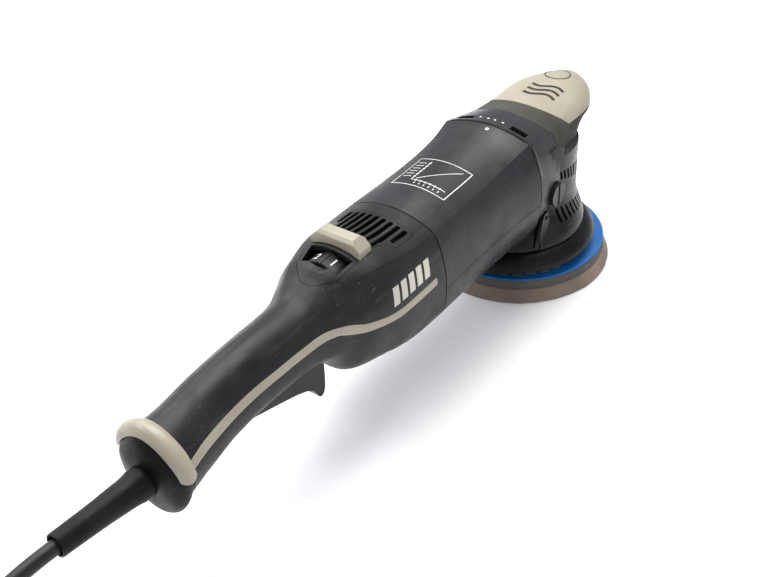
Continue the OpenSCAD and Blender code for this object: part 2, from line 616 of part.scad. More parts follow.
// Copper field coils: two round each pole's ends, joined by bars in the slots
module stator_windings() {
    r0 = core_r + air_gap + 1;
    r1 = stator_r - 5.2;
    color([0.72, 0.38, 0.2]) on_motor(stator_x) for (m = [0, 180]) rotate([0, 0, m + 90]) {
        for (s = [-1, 1]) rotate([0, 0, s * 73]) translate([0, 0, -stack_len / 2 - 0.5])
            sector(r0 + 0.4, r1 - 0.4, 18, stack_len + 1);
        for (z = [-stack_len / 2 - 9, stack_len / 2 + 0.2]) translate([0, 0, z])
            sector(r0, r1, 166, 8.8);
    }
}
module brush_bridge() {
    bridge_len = rear_rib_x - rear_bearing_x + 4;
    color([0.13, 0.13, 0.14]) difference() {
        union() {
            on_motor(rear_bearing_x - 2.5) {
                tube(stator_r + 2, stator_r - 1, bridge_len - 1.5);
                tube(stator_r + 2, 11.02, 4);
                tube(14, 11.02, 9);
            }
            for (s = [-1, 1]) translate([brush_x - 8, s * 23.8 - 8.8, motor_z - 8])
                cube([16, 17.6, 16]);
        }
        for (s = [-1, 1]) translate([brush_x - 5.02, s * 25 - 11, motor_z - 5.52])
            cube([10.04, 22, 11.04]);
        // Cooling windows between the two brush holders
        on_motor(rear_bearing_x + 4) translate([-60, -12, 0]) cube([120, 24, bridge_len - 14]);
        for (s = [-1, 1]) translate([rear_bearing_x - 4, s * 22, motor_z]) rotate([0, 90, 0])
            cylinder(r = 4, h = 8);
        // Room for the screws and posts round it
        seam_screw_places(SEAM_SCREWS) {
            along_x(rear_seam - 17, 0, 5, 20);
            along_x(rear_bearing_x - 5, 0, screw_r + 0.3, bridge_len + 12);
        }
    }
}
module brush_holders() {
    color([0.75, 0.6, 0.28]) for (s = [-1, 1]) difference() {
        translate([brush_x - 5, s * 23 - 9, motor_z - 5.5]) cube([10, 18, 11]);
        translate([brush_x - 3.2, s * 22 - (s > 0 ? 12 : 8), motor_z - 4.2])
            cube([6.4, 20 - 0.01, 8.4]);
    }
}
module carbon_brushes() {
    color([0.15, 0.15, 0.16]) for (s = [-1, 1])
        translate([brush_x - 3.15, s > 0 ? comm_r + 0.1 : -comm_r - 12.1, motor_z - 4.15])
        cube([6.3, 12, 8.3]);
}
// A helical wire spring of a free ring radius r, wire radius w and height h
module coil_spring(r, w, h, turns, sides = 6) {
    n = turns * 10;
    rows = [for (i = [0:n]) let (a = 360 * i / 10, z = w + (h - 2 * w) * i / n)
        [for (j = [0:sides - 1]) let (b = 360 * j / sides)
            [(r + w * cos(b)) * cos(a), (r + w * cos(b)) * sin(a), z + w * sin(b)]]];
    ring_skin(rows, [r, 0, w], [r * cos(36 * n), r * sin(36 * n), h - w]);
}
module brush_springs() {
    color("silver") for (s = [-1, 1]) translate([brush_x, s * (comm_r + 12.3), motor_z])
        rotate([s > 0 ? -90 : 90, 0, 0]) coil_spring(2.4, 0.4, 5.4, 4, 5);
}
module ball_bearing(outer, bore, h) {
    groove_r = (outer + bore) / 2;
    wall_r = (outer - bore) * 0.28;
    union() {
        tube(outer, outer - wall_r, h);
        tube(bore + wall_r, bore, h);
        translate([0, 0, h * 0.12]) tube(groove_r + (outer - bore) * 0.25,
            groove_r - (outer - bore) * 0.25, h * 0.76);
    }
}
module motor_rear_bearing() {
    color("silver") on_motor(rear_bearing_x) ball_bearing(11, journal_r, 7);
}
module motor_front_bearing() {
    color("silver") on_motor(front_seam - 9.8) ball_bearing(15, shaft_r, 9);
}
module armature_shaft() {
    color([0.7, 0.7, 0.72]) {
        on_motor(rear_bearing_x - 1) cylinder(r = journal_r - run_fit, h = 9);
        on_motor(rear_bearing_x + 7.6) cylinder(r = shaft_r - run_fit,
            h = front_seam - rear_bearing_x - 7.6);
        on_motor(front_seam - 0.2) cylinder(r = journal_r - run_fit, h = 12);
    }
}
module armature_core() {
    color([0.45, 0.45, 0.46]) on_motor(stator_x - stack_len / 2) difference() {
        tube(core_r, shaft_r, stack_len);
        for (i = [0:11]) rotate([0, 0, i * 30]) {
            translate([core_r - 1.2, -1, -1]) cube([3, 2, stack_len + 2]);
            translate([core_r - 5, 0, -1]) cylinder(r = 2.4, h = stack_len + 2);
        }
    }
}
module armature_windings() {
    color([0.72, 0.38, 0.2]) for (x = [stator_x - stack_len / 2 - 8.5, stator_x + stack_len / 2])
        on_motor(x) rotate_extrude()
            polygon([[shaft_r + 0.3, 0], [15, 0], [17.5, 2], [17.5, 6], [15, 8.3],
                [shaft_r + 0.3, 8.3]]);
}
module commutator() {
    color([0.8, 0.48, 0.28]) on_motor(brush_x - 8) difference() {
        union() {
            tube(comm_r, shaft_r, 16);
            translate([0, 0, 16]) tube(comm_r + 2, shaft_r, 2);
        }
        for (i = [0:23]) rotate([0, 0, i * 15 + 7.5]) translate([comm_r - 0.8, -0.25, -1])
            cube([5, 0.5, 20]);
    }
}
module cooling_fan() {
    color([0.85, 0.85, 0.8]) on_motor(front_seam - 25) {
        tube(fan_r, shaft_r, 2);
        tube(9, shaft_r, 11);
        for (i = [0:12]) rotate([0, 0, i * 360 / 13]) translate([8, -0.8, 1])
            rotate([0, 0, 12]) cube([fan_r - 9, 1.6, 9.5]);
    }
}

// ---- Gears --------------------------------------------------------------------------------
// Both gears are scaled towards the point where their axes cross, so they mesh all along.
cone = atan(pinion_teeth / crown_teeth);
mesh_out = 28.9;
mesh_in = 22.4;
tooth_top = 1.05;
tooth_root = 1.45;
// Half widths of a tooth at its top and its root, at the outer end
crown_half = [0.55, 1.32];
pinion_half = [0.65, 1.2];
// The [height, half width] of the four corners of a tooth
function tooth(h) = [[-tooth_root, -h[1]], [tooth_top, -h[0]], [tooth_top, h[0]],
    [-tooth_root, h[1]]];
function crown_row(l, base) = [for (k = [0:crown_teeth - 1], t = tooth(crown_half))
    let (f = l / mesh_out, h = (base ? -tooth_root - 2.4 : t[0]) * f,
        r = l * cos(cone) + h * sin(cone), a = (k + 0.5) * 360 / crown_teeth + t[1] * f / r * 180 / PI)
    [r * cos(a), r * sin(a), motor_z - l * sin(cone) + h * cos(cone)]];
function pinion_row(l) = [for (k = [0:pinion_teeth - 1], t = tooth(pinion_half))
    let (f = l / mesh_out, r = l * sin(cone) + t[0] * f * cos(cone),
        a = k * 360 / pinion_teeth + t[1] * f / r * 180 / PI)
    [-(l * cos(cone) - t[0] * f * sin(cone)), r * sin(a), motor_z - r * cos(a)]];
crown_seat_z = 64.3;
crown_bore = 7;
module crown_gear() {
    color([0.55, 0.55, 0.56]) {
        wall_skin_ring([crown_row(mesh_in, true), crown_row(mesh_in, false),
            crown_row(mesh_out, false), crown_row(mesh_out, true)]);
        translate([0, 0, crown_seat_z]) difference() {
            union() {
                cylinder(r = 25, h = 5.9);
                cylinder(r = 12, h = 8);
            }
            translate([0, 0, -1]) cylinder(r = crown_bore, h = 12);
        }
    }
}
// A closed ring of material through four loops of points
module wall_skin_ring(rows) {
    m = len(rows);
    n = len(rows[0]);
    polyhedron(flat(rows), [for (i = [0:m - 1], j = [0:n - 1], f = quad(i * n + j,
        i * n + (j + 1) % n, ((i + 1) % m) * n + (j + 1) % n, ((i + 1) % m) * n + j)) f]);
}
module pinion() {
    color([0.5, 0.5, 0.51]) difference() {
        union() {
            ring_skin([pinion_row(mesh_in), pinion_row(mesh_out)],
                [-mesh_in * cos(cone), 0, motor_z], [-mesh_out * cos(cone), 0, motor_z]);
            on_motor(front_seam + 0.1) cylinder(r = 5.6, h = -mesh_out * cos(cone) - front_seam);
        }
        on_motor(front_seam - 1) cylinder(r = journal_r - run_fit, h = 12.8);
    }
}

// ---- Spindle and pad ----------------------------------------------------------------------
lower_bearing_z = 52;
hub_z = 45.5;
module spindle_upper_bearing() {
    color("silver") translate([0, 0, 99]) ball_bearing(11, 4, 7);
}
module spindle_lower_bearing() {
    color("silver") translate([0, 0, lower_bearing_z]) ball_bearing(17.5, 8.5, 10);
}
module spindle_shaft() {
    color([0.68, 0.68, 0.7]) {
        translate([0, 0, 98]) cylinder(r = 4 - run_fit, h = 7.9);
        translate([0, 0, 72.5]) cylinder(r = 6, h = 26);
        translate([0, 0, 62]) cylinder(r = crown_bore, h = 10.6);
        translate([0, 0, hub_z]) cylinder(r = 8.5 - run_fit, h = 17);
    }
}
pad_bearing_r = 16;
pad_shaft_r = 7.5;
module counterweight() {
    color([0.6, 0.58, 0.5]) difference() {
        union() {
            translate([0, 0, 30]) intersection() {
                difference() {
                    cylinder(r = 35, h = 19.5);
                    translate([0, 0, -1]) cylinder(r = 20, h = 30);
                }
                rotate([0, 0, 180]) sector(0, 60, 130, 19.5);
            }
            translate([-22, -17, 44]) cube([20, 34, 5.5]);
            pad_side() translate([0, 0, 30]) cylinder(r = pad_bearing_r + 3.5, h = 19.5);
            translate([0, 0, 44]) cylinder(r = 14, h = 5.5);
        }
        pad_side() translate([0, 0, 20]) cylinder(r = pad_bearing_r + 0.02, h = 10 + 14.5);
        translate([0, 0, hub_z - 1.5]) cylinder(r = 8.5 - run_fit, h = 10);
    }
}
module pad_bearings() {
    color("silver") pad_side() for (z = [31.5, 38.2])
        translate([0, 0, z]) ball_bearing(pad_bearing_r, pad_shaft_r, 6.2);
}
module bearing_clip() {
    color([0.35, 0.35, 0.36]) pad_side() translate([0, 0, 30]) difference() {
        tube(pad_bearing_r, pad_bearing_r - 2.2, 1.2);
        rotate([0, 0, 180]) translate([5, -2, -1]) cube([20, 4, 4]);
    }
}
plate_z = pad_t + foam_t;
hub_top = 24.4;
module pad_spindle() {
    color([0.66, 0.66, 0.68]) pad_side() difference() {
        union() {
            translate([0, 0, hub_top]) cylinder(r = 12, h = 4.2);
            translate([0, 0, hub_top]) cylinder(r = pad_shaft_r + 2, h = 6.6);
            translate([0, 0, hub_top]) cylinder(r = pad_shaft_r - run_fit, h = 19.6);
        }
        translate([0, 0, hub_top - 1]) cylinder(r = 4.02, h = 16);
    }
}
module backing_plate() {
    r = plate_d / 2;
    color([0.04, 0.4, 0.72]) pad_side() rotate_extrude()
        polygon([[4.05, plate_z], [r - 0.6, plate_z], [r, plate_z + 0.5], [r - 0.4, plate_z + 1.2],
            [r - 16, plate_z + 3], [34, plate_z + 4], [19, plate_z + 5.2], [16, hub_top - 0.05],
            [4.05, hub_top - 0.05]]);
}
module backing_foam() {
    r = plate_d / 2;
    color([0.37, 0.36, 0.33]) pad_side() rotate_extrude()
        polygon([[11, pad_t], [r, pad_t], [r + 0.3, pad_t + foam_t / 2], [r - 0.2, plate_z],
            [11, plate_z]]);
}
module polishing_pad() {
    color([0.49, 0.42, 0.38]) pad_side() rotate_extrude()
        polygon([[6.9, 0], [pad_d / 2 - 1, 0], [pad_d / 2, 1], [plate_d / 2 + 1.2, pad_t - 0.6],
            [plate_d / 2 + 0.4, pad_t], [6.9, pad_t]]);
}
module pad_bolt() {
    color([0.3, 0.3, 0.31]) pad_side() difference() {
        union() {
            translate([0, 0, plate_z - 6.5]) cylinder(r = 6.5, h = 6.5);
            translate([0, 0, plate_z]) cylinder(r = 4, h = 20);
        }
        translate([0, 0, plate_z - 7]) cylinder(r = 3.4, h = 4, $fn = 6);
    }
}

// ---- Controls and electrics ---------------------------------------------------------------
plunger_arm = 30;
trigger_top = 71;
switch_z = 86;
module trigger_pin() {
    color("silver") translate([pivot[0], 0, pivot[1]]) rotate([90, 0, 0])
        cylinder(r = 2, h = trigger_w + 2 * side_gap + 5.8, center = true);
}
module paddle_trigger() {
    f = trigger_front;
    color([0.1, 0.1, 0.11]) difference() {
        translate([0, trigger_w / 2, 0]) rotate([90, 0, 0]) linear_extrude(height = trigger_w)
            polygon([[f - 0.5, 62], [f - 1, 52], [f - 1.8, 44.5], [f - 3.2, 41], [f - 5.4, 39.4],
                [f - 7.6, 40.4], [f - 9.6, 44.6], [f - 12.5, 48.6], [f - 17, 51.8], [f - 24, 54.8],
                [f - 34, 58], [f - 46, 61.6], [pivot[0] - 1, 65.4], [pivot[0] - 4.4, 69],
                [pivot[0] - 5.6, 74], [pivot[0] - 4.6, 78.6], [pivot[0], 80.8],
                [pivot[0] + 4.6, 79.2], [pivot[0] + 9, 74], [pivot[0] + 16, trigger_top],
                [f - 8, trigger_top], [f - 2, 65]]);
        translate([pivot[0], 0, pivot[1]]) rotate([90, 0, 0])
            cylinder(r = 2 + run_fit, h = 60, center = true);
        // Hollow behind the front face
        translate([f - 16, -trigger_w / 2 + 2.2, 56]) cube([12, trigger_w - 4.4, 20]);
    }
}
module trigger_spring() {
    color("silver") translate([pivot[0] + plunger_arm, 0, trigger_top + 0.1])
        coil_spring(5, 0.6, switch_z - trigger_top - 0.2, 5);
}
module switch_plunger() {
    color([0.7, 0.15, 0.12]) translate([pivot[0] + plunger_arm, 0, trigger_top + 0.3]) {
        cylinder(r = 2.5, h = 22);
    }
}
module switch_body() {
    x = pivot[0] + plunger_arm;
    color([0.12, 0.12, 0.13]) difference() {
        union() {
            translate([x - 16, -9, switch_z]) cube([26, 18, 12.8]);
            for (y = [-5, 5]) translate([x - 22, y - 1.5, switch_z + 5]) cube([7, 3, 1]);
        }
        translate([x, 0, switch_z - 1]) cylinder(r = 2.56, h = 13.4);
    }
}
module speed_dial() {
    color([0.14, 0.14, 0.15]) translate([dial_x, 0, dial_z]) rotate([0, 90, 0]) {
        difference() {
            translate([0, 0, -dial_w / 2]) cylinder(r = dial_r, h = dial_w);
            // Ribbed grips between the seven numbered faces
            for (i = [0:6]) for (g = [-1, 0, 1]) rotate([0, 0, i * 360 / 7 + 180 + g * 4.5])
                translate([dial_r - 0.6, -0.25, -dial_w]) cube([3, 0.5, 2 * dial_w]);
        }
        cylinder(r = 3 - run_fit, h = dial_w / 2 + 9);
    }
}
board_z = 86;
module speed_module() {
    x = dial_x + dial_w / 2 + 1.5;
    color([0.05, 0.12, 0.08]) {
        translate([dial_x - 12, -13, board_z - 1.6]) cube([28, 26, 1.6]);
        for (y = [-9, 9]) translate([dial_x - 6, y, board_z - 8]) cylinder(r = 3.5, h = 7);
    }
    color([0.1, 0.1, 0.11]) difference() {
        translate([x, -7, board_z - 0.1]) cube([8, 14, 26]);
        along_x(x - 1, dial_z, 3, 12);
    }
}
module noise_capacitor() {
    color([0.8, 0.72, 0.3]) translate([dial_x - 3, -9, 46.6]) cube([18, 18, 14]);
}
clamp_x = grip_end + 18.6;
module cable_clamp() {
    color([0.1, 0.1, 0.11]) difference() {
        union() {
            translate([clamp_x - 5, -10, relief_z - 6.5]) cube([10, 20, 15.5]);
            translate([clamp_x - 5, -5, relief_z - 8.6]) cube([10, 10, 4]);
        }
        along_x(clamp_x - 6, relief_z, cord_d / 2 + 0.1, 12);
    }
}

// ---- Screws -------------------------------------------------------------------------------
module pan_screw(l, head = 4) {
    difference() {
        union() {
            cylinder(r = screw_r, h = l);
            translate([0, 0, -2.6]) cylinder(r = head, h = 2.6);
        }
        translate([-0.5, -3, -3]) cube([1, 6, 1.4]);
        translate([-3, -0.5, -3]) cube([6, 1, 1.4]);
    }
}
module gear_case_screws() {
    color("silver") {
        seam_screw_places(HEAD_SCREWS)
            translate([front_seam + 3.5, 0, 0]) rotate([0, -90, 0]) pan_screw(14);
        for (a = NECK_SCREW_ANGLES) rotate([0, 0, a])
            translate([neck_screw_at, 0, 54]) pan_screw(21);
    }
}
module housing_screws() {
    color("silver") seam_screw_places(SEAM_SCREWS)
        translate([rear_seam - 12.1, 0, 0]) rotate([0, 90, 0])
        pan_screw(rear_rib_x - rear_seam + 20, 3.4);
}
module handle_screws() {
    color("silver") post_places() pan_screw(handle_screw_len, 3.9);
}

// ---- Cord ---------------------------------------------------------------------------------
relief_len = 57;
module strain_relief() {
    b = cord_d / 2;
    color([0.09, 0.09, 0.1]) relief_place() rotate_extrude()
        polygon([[b + 0.1, 0], [b + 5, 0], [b + 5, 10], [b + 4.4, 12.5], [b + 3.9, 17],
            [b + 3.2, 30], [b + 2.5, relief_len - 1], [b + 2.1, relief_len], [b + 1.3, relief_len],
            [b + 1.2, relief_len - 5], [b + 0.1, relief_len - 5]]);
}
// The cord's route from inside the strain relief's collar to the coil, and from it to the plug
ROUTE = [[-391.5, 0, 76.9], [-400, 0, 77.6], [-410, 0, 78.2], [-420, 0, 78.2], [-430, 0, 77.2],
    [-440, 0, 75], [-450, 0, 71.6], [-460, 0, 67], [-470, 0, 61.5], [-480, 0, 55.5],
    [-490, 0, 49.4], [-500, 0, 43.6], [-510, 0, 38.4], [-520, 0, 34], [-530, 0, 30.6],
    [-540, 0, 28.6], [-550, 0, 28]];
module cord_tube(points) {
    n = len(points);
    sides = 10;
    rows = [for (i = [0:n - 1]) let (a = points[max(0, i - 1)], b = points[min(n - 1, i + 1)],
            d = (b - a) / norm(b - a), u = cross(d, [0, 1, 0]) / norm(cross(d, [0, 1, 0])))
        [for (j = [0:sides - 1]) points[i] + cord_d / 2 * (cos(36 * j) * u
            + sin(36 * j) * [0, 1, 0])]];
    ring_skin(rows, points[0], points[n - 1]);
}
coil_x = -550;
turns_wide = 4;
turns_high = 4;
coil_y = coil_r + (turns_wide - 1) * cord_d / 2;
// The short stretch along the surface from the coil's lowest turn to the plug
TAIL_ROUTE = [for (p = [[-550, 4], [-540, 4.2], [-530, 5.6], [-520, 8], [-510, 10.6],
    [-502, 12.2], [-496, 12.9]]) [p[0], 2 * coil_y, p[1]]];
module power_cord() {
    color([0.08, 0.08, 0.09]) {
        cord_tube(ROUTE);
        cord_tube(TAIL_ROUTE);
    }
}
module cord_coil() {
    w = turns_wide * cord_d / 2;
    color([0.08, 0.08, 0.09]) translate([coil_x, coil_y, 0])
        tube(coil_r + w, coil_r - w, turns_high * cord_d);
}
// A two-pin plug lying on its flat side
plug_at = [-476, 2 * coil_y, 13];
module plug() {
    translate(plug_at) rotate([0, 90, 0]) {
        color([0.08, 0.08, 0.09]) {
            linear_extrude(height = 30) polygon([[-13, -17], [-11, -18.5], [11, -18.5],
                [13, -17], [13, 17], [11, 18.5], [-11, 18.5], [-13, 17]]);
            translate([0, 0, -20]) cylinder(r1 = 5.5, r2 = 11, h = 20.2);
        }
        color("silver") for (y = [-9.5, 9.5]) translate([0, y, 30]) cylinder(r = 2.4, h = 19);
    }
}

motor_housing();
gear_housing();
nose_grip();
nose_cap();
neck_housing();
side_plugs();
shroud_skirt();
shroud_ring();
shroud_clips();
handle_upper_shell();
handle_lower_shell();
trim_strips();
end_arch();
rear_bumper();
vent_grille();
dial_bezel();
dial_guard();
stator_core();
stator_windings();
brush_bridge();
brush_holders();
carbon_brushes();
brush_springs();
motor_rear_bearing();
motor_front_bearing();
motor_flange();
spindle_upper_bearing();
spindle_lower_bearing();
switch_body();
switch_plunger();
speed_module();
noise_capacitor();
cable_clamp();
housing_screws();
handle_screws();
gear_case_screws();
trigger_pin();
trigger_spring();
paddle_trigger();
speed_dial();
armature_shaft();
armature_core();
armature_windings();
commutator();
cooling_fan();
pinion();
spindle_shaft();
crown_gear();
counterweight();
pad_bearings();
bearing_clip();
pad_spindle();
backing_plate();
backing_foam();
polishing_pad();
pad_bolt();
strain_relief();
power_cord();
cord_coil();
plug();
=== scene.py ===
import json
import math

import bmesh
import bpy
import numpy as np
from mathutils import Matrix, Vector


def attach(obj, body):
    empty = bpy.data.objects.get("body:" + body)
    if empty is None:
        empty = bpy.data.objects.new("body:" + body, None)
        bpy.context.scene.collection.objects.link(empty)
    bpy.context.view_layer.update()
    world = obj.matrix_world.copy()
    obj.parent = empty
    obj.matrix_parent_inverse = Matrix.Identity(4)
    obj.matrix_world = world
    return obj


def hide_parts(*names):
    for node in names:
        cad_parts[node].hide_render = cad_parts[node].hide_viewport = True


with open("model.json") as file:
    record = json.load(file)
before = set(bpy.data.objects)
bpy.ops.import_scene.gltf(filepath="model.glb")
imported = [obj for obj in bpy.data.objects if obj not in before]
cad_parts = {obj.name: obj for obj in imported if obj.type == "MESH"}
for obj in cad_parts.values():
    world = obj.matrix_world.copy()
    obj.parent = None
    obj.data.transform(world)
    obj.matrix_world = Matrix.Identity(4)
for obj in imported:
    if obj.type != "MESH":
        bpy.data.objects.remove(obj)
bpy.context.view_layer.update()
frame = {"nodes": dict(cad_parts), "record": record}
nodes = frame["nodes"]
record = frame["record"]
node_body = {n: b for b, ns in record["behaviour"]["bodies"].items() for n in ns}
node_slot = {s["node"]: s["material_slot"] for s in record["subparts"]}
MM = 0.001

# ---- Camera and light ----------------------------------------------------------------------


def camera():
    yaw, pitch, roll = (math.radians(a) for a in (39.38, 37.12, -4.26))
    forward = Vector((math.cos(pitch) * math.cos(yaw), math.cos(pitch) * math.sin(yaw), -math.sin(pitch)))
    right = forward.cross(Vector((0, 0, 1))).normalized()
    up = right.cross(forward)
    r = right * math.cos(roll) + up * math.sin(roll)
    u = up * math.cos(roll) - right * math.sin(roll)
    cam = bpy.data.objects.new("camera", bpy.data.cameras.new("camera"))
    bpy.context.scene.collection.objects.link(cam)
    cam.data.sensor_width, cam.data.lens = 36, 46.875
    cam.data.clip_start, cam.data.clip_end = 0.02, 40
    cam.matrix_world = Matrix((
        (r.x, u.x, -forward.x, -0.52915), (r.y, u.y, -forward.y, -0.30956),
        (r.z, u.z, -forward.z, 0.43432), (0, 0, 0, 1)))
    bpy.context.scene.camera = cam


def area(name, place, target, size, energy, colour=(1, 1, 1)):
    data = bpy.data.lights.new(name, "AREA")
    data.shape, data.size, data.size_y = "RECTANGLE", size[0], size[1]
    data.energy, data.color = energy, colour
    o = bpy.data.objects.new(name, data)
    bpy.context.scene.collection.objects.link(o)
    o.location = place
    o.rotation_mode = "QUATERNION"
    o.rotation_quaternion = (Vector(target) - Vector(place)).to_track_quat("-Z", "Y")


def studio():
    world = bpy.data.worlds.new("studio")
    bpy.context.scene.world = world
    world.use_nodes = True
    back = world.node_tree.nodes["Background"]
    back.inputs["Color"].default_value = (0.93, 0.95, 1, 1)
    back.inputs["Strength"].default_value = 0.62
    bpy.context.scene.view_settings.view_transform = "Standard"
    area("overhead", (0.05, 0.3, 1.2), (-0.12, 0, 0.05), (1.3, 1.0), 25, (1, 0.99, 0.97))
    area("left_strip", (-0.35, 1.1, 0.75), (-0.2, 0, 0.1), (1.6, 0.35), 9, (0.95, 0.97, 1))
    area("right_fill", (-0.1, -1.3, 0.6), (-0.1, 0, 0.06), (1.2, 0.5), 1.5)
    mesh = bpy.data.meshes.new("floor")
    mesh.from_pydata([(-5, -5, 0), (5, -5, 0), (5, 5, 0), (-5, 5, 0)], [], [(0, 1, 2, 3)])
    floor = bpy.data.objects.new("floor", mesh)
    bpy.context.scene.collection.objects.link(floor)
    floor.location.z = -0.0002
    paint = surface("floor_paint", (0.93, 0.93, 0.93), 0.7, grain=0.01, mottle=0.01, rough_vary=0.02)
    floor.data.materials.append(paint)


# ---- Materials -----------------------------------------------------------------------------


def surface(name, colour, rough, metal=0.0, grain=0.1, grain_mm=0.5, mottle=0.1, dust=0.0,
            dust_colour=(0.35, 0.33, 0.3), specks=0.0, scratches=0.0, rough_vary=0.12, coat=0.0,
            sheen=0.0, brushed=None, streaks=0.0, spec=0.5):
    """One procedural finish: a base colour with soft mottling, dust, specks and fine scratches,
    varied roughness and a moulded, cast, foam or brushed grain as bump."""
    m = bpy.data.materials.new(name)
    m.use_nodes = True
    tree = m.node_tree
    new, link = tree.nodes.new, tree.links.new
    shader = tree.nodes["Principled BSDF"]
    coords = new("ShaderNodeTexCoord")

    def noise(scale, detail=4.0, stretch=None, roughness=0.55):
        n = new("ShaderNodeTexNoise")
        n.inputs["Scale"].default_value = scale
        n.inputs["Detail"].default_value = detail
        n.inputs["Roughness"].default_value = roughness
        source = coords.outputs["Object"]
        if stretch:
            mapping = new("ShaderNodeMapping")
            mapping.inputs["Scale"].default_value = stretch[0]
            mapping.inputs["Rotation"].default_value = stretch[1]
            link(source, mapping.inputs["Vector"])
            source = mapping.outputs["Vector"]
        link(source, n.inputs["Vector"])
        return n.outputs["Fac"]

    def ramp(value, low, high, out=(0.0, 1.0)):
        n = new("ShaderNodeMapRange")
        n.interpolation_type = "SMOOTHSTEP"
        for key, v in zip(("From Min", "From Max", "To Min", "To Max"), (low, high, *out)):
            n.inputs[key].default_value = v
        link(value, n.inputs["Value"])
        return n.outputs["Result"]

    def mix(a, b, factor):
        n = new("ShaderNodeMix")
        n.data_type = "RGBA"
        sockets = [s for s in n.inputs if s.type == "RGBA"]
        for s, v in zip(sockets, (a, b)):
            if isinstance(v, tuple):
                s.default_value = (*v, 1)
            else:
                link(v, s)
        link(factor, n.inputs[0])
        return next(s for s in n.outputs if s.type == "RGBA")

    shade = tuple(c * (1 - mottle) for c in colour)
    light = tuple(min(1, c * (1 + mottle) + 0.004) for c in colour)
    out = mix(shade, light, ramp(noise(28, 5), 0.3, 0.7))
    if dust:
        out = mix(out, dust_colour, ramp(noise(45, 8, roughness=0.7), 0.5, 0.78, (0, dust)))
    if streaks:
        run = noise(1, 5, ((14, 160, 160), (0, 0, 0.1)))
        out = mix(out, dust_colour, ramp(run, 0.56, 0.74, (0, streaks)))
    if specks:
        spots = new("ShaderNodeTexVoronoi")
        spots.inputs["Scale"].default_value = 620
        link(coords.outputs["Object"], spots.inputs["Vector"])
        small = ramp(spots.outputs["Distance"], 0.16, 0.06, (0, specks))
        where = new("ShaderNodeMath")
        where.operation = "MULTIPLY"
        link(small, where.inputs[0])
        link(ramp(noise(17, 3), 0.52, 0.62), where.inputs[1])
        out = mix(out, (0.5, 0.49, 0.46), where.outputs["Value"])
    if scratches:
        for turn, stretch in ((0.35, (22, 900, 500)), (-0.5, (35, 1300, 800))):
            line = ramp(noise(1, 2, (stretch, (0.2, 0.1, turn))), 0.70, 0.76, (0, scratches))
            out = mix(out, (0.42, 0.42, 0.41), line)
    link(out, shader.inputs["Base Color"])
    shader.inputs["Metallic"].default_value = metal
    shader.inputs["Specular IOR Level"].default_value = spec
    link(ramp(noise(60, 6), 0.25, 0.75, (max(0.03, rough - rough_vary), min(1, rough + rough_vary))),
         shader.inputs["Roughness"])
    if coat:
        shader.inputs["Coat Weight"].default_value = coat
        shader.inputs["Coat Roughness"].default_value = 0.18
    if sheen:
        shader.inputs["Sheen Weight"].default_value = sheen
    if grain:
        bump = new("ShaderNodeBump")
        bump.inputs["Strength"].default_value = grain
        bump.inputs["Distance"].default_value = grain_mm * MM * 0.6
        stretch = brushed and ((brushed, 1, 1), (0, 0, 0))
        link(noise(0.9 / (grain_mm * MM), 3, stretch), bump.inputs["Height"])
        link(bump.outputs["Normal"], shader.inputs["Normal"])
    return m


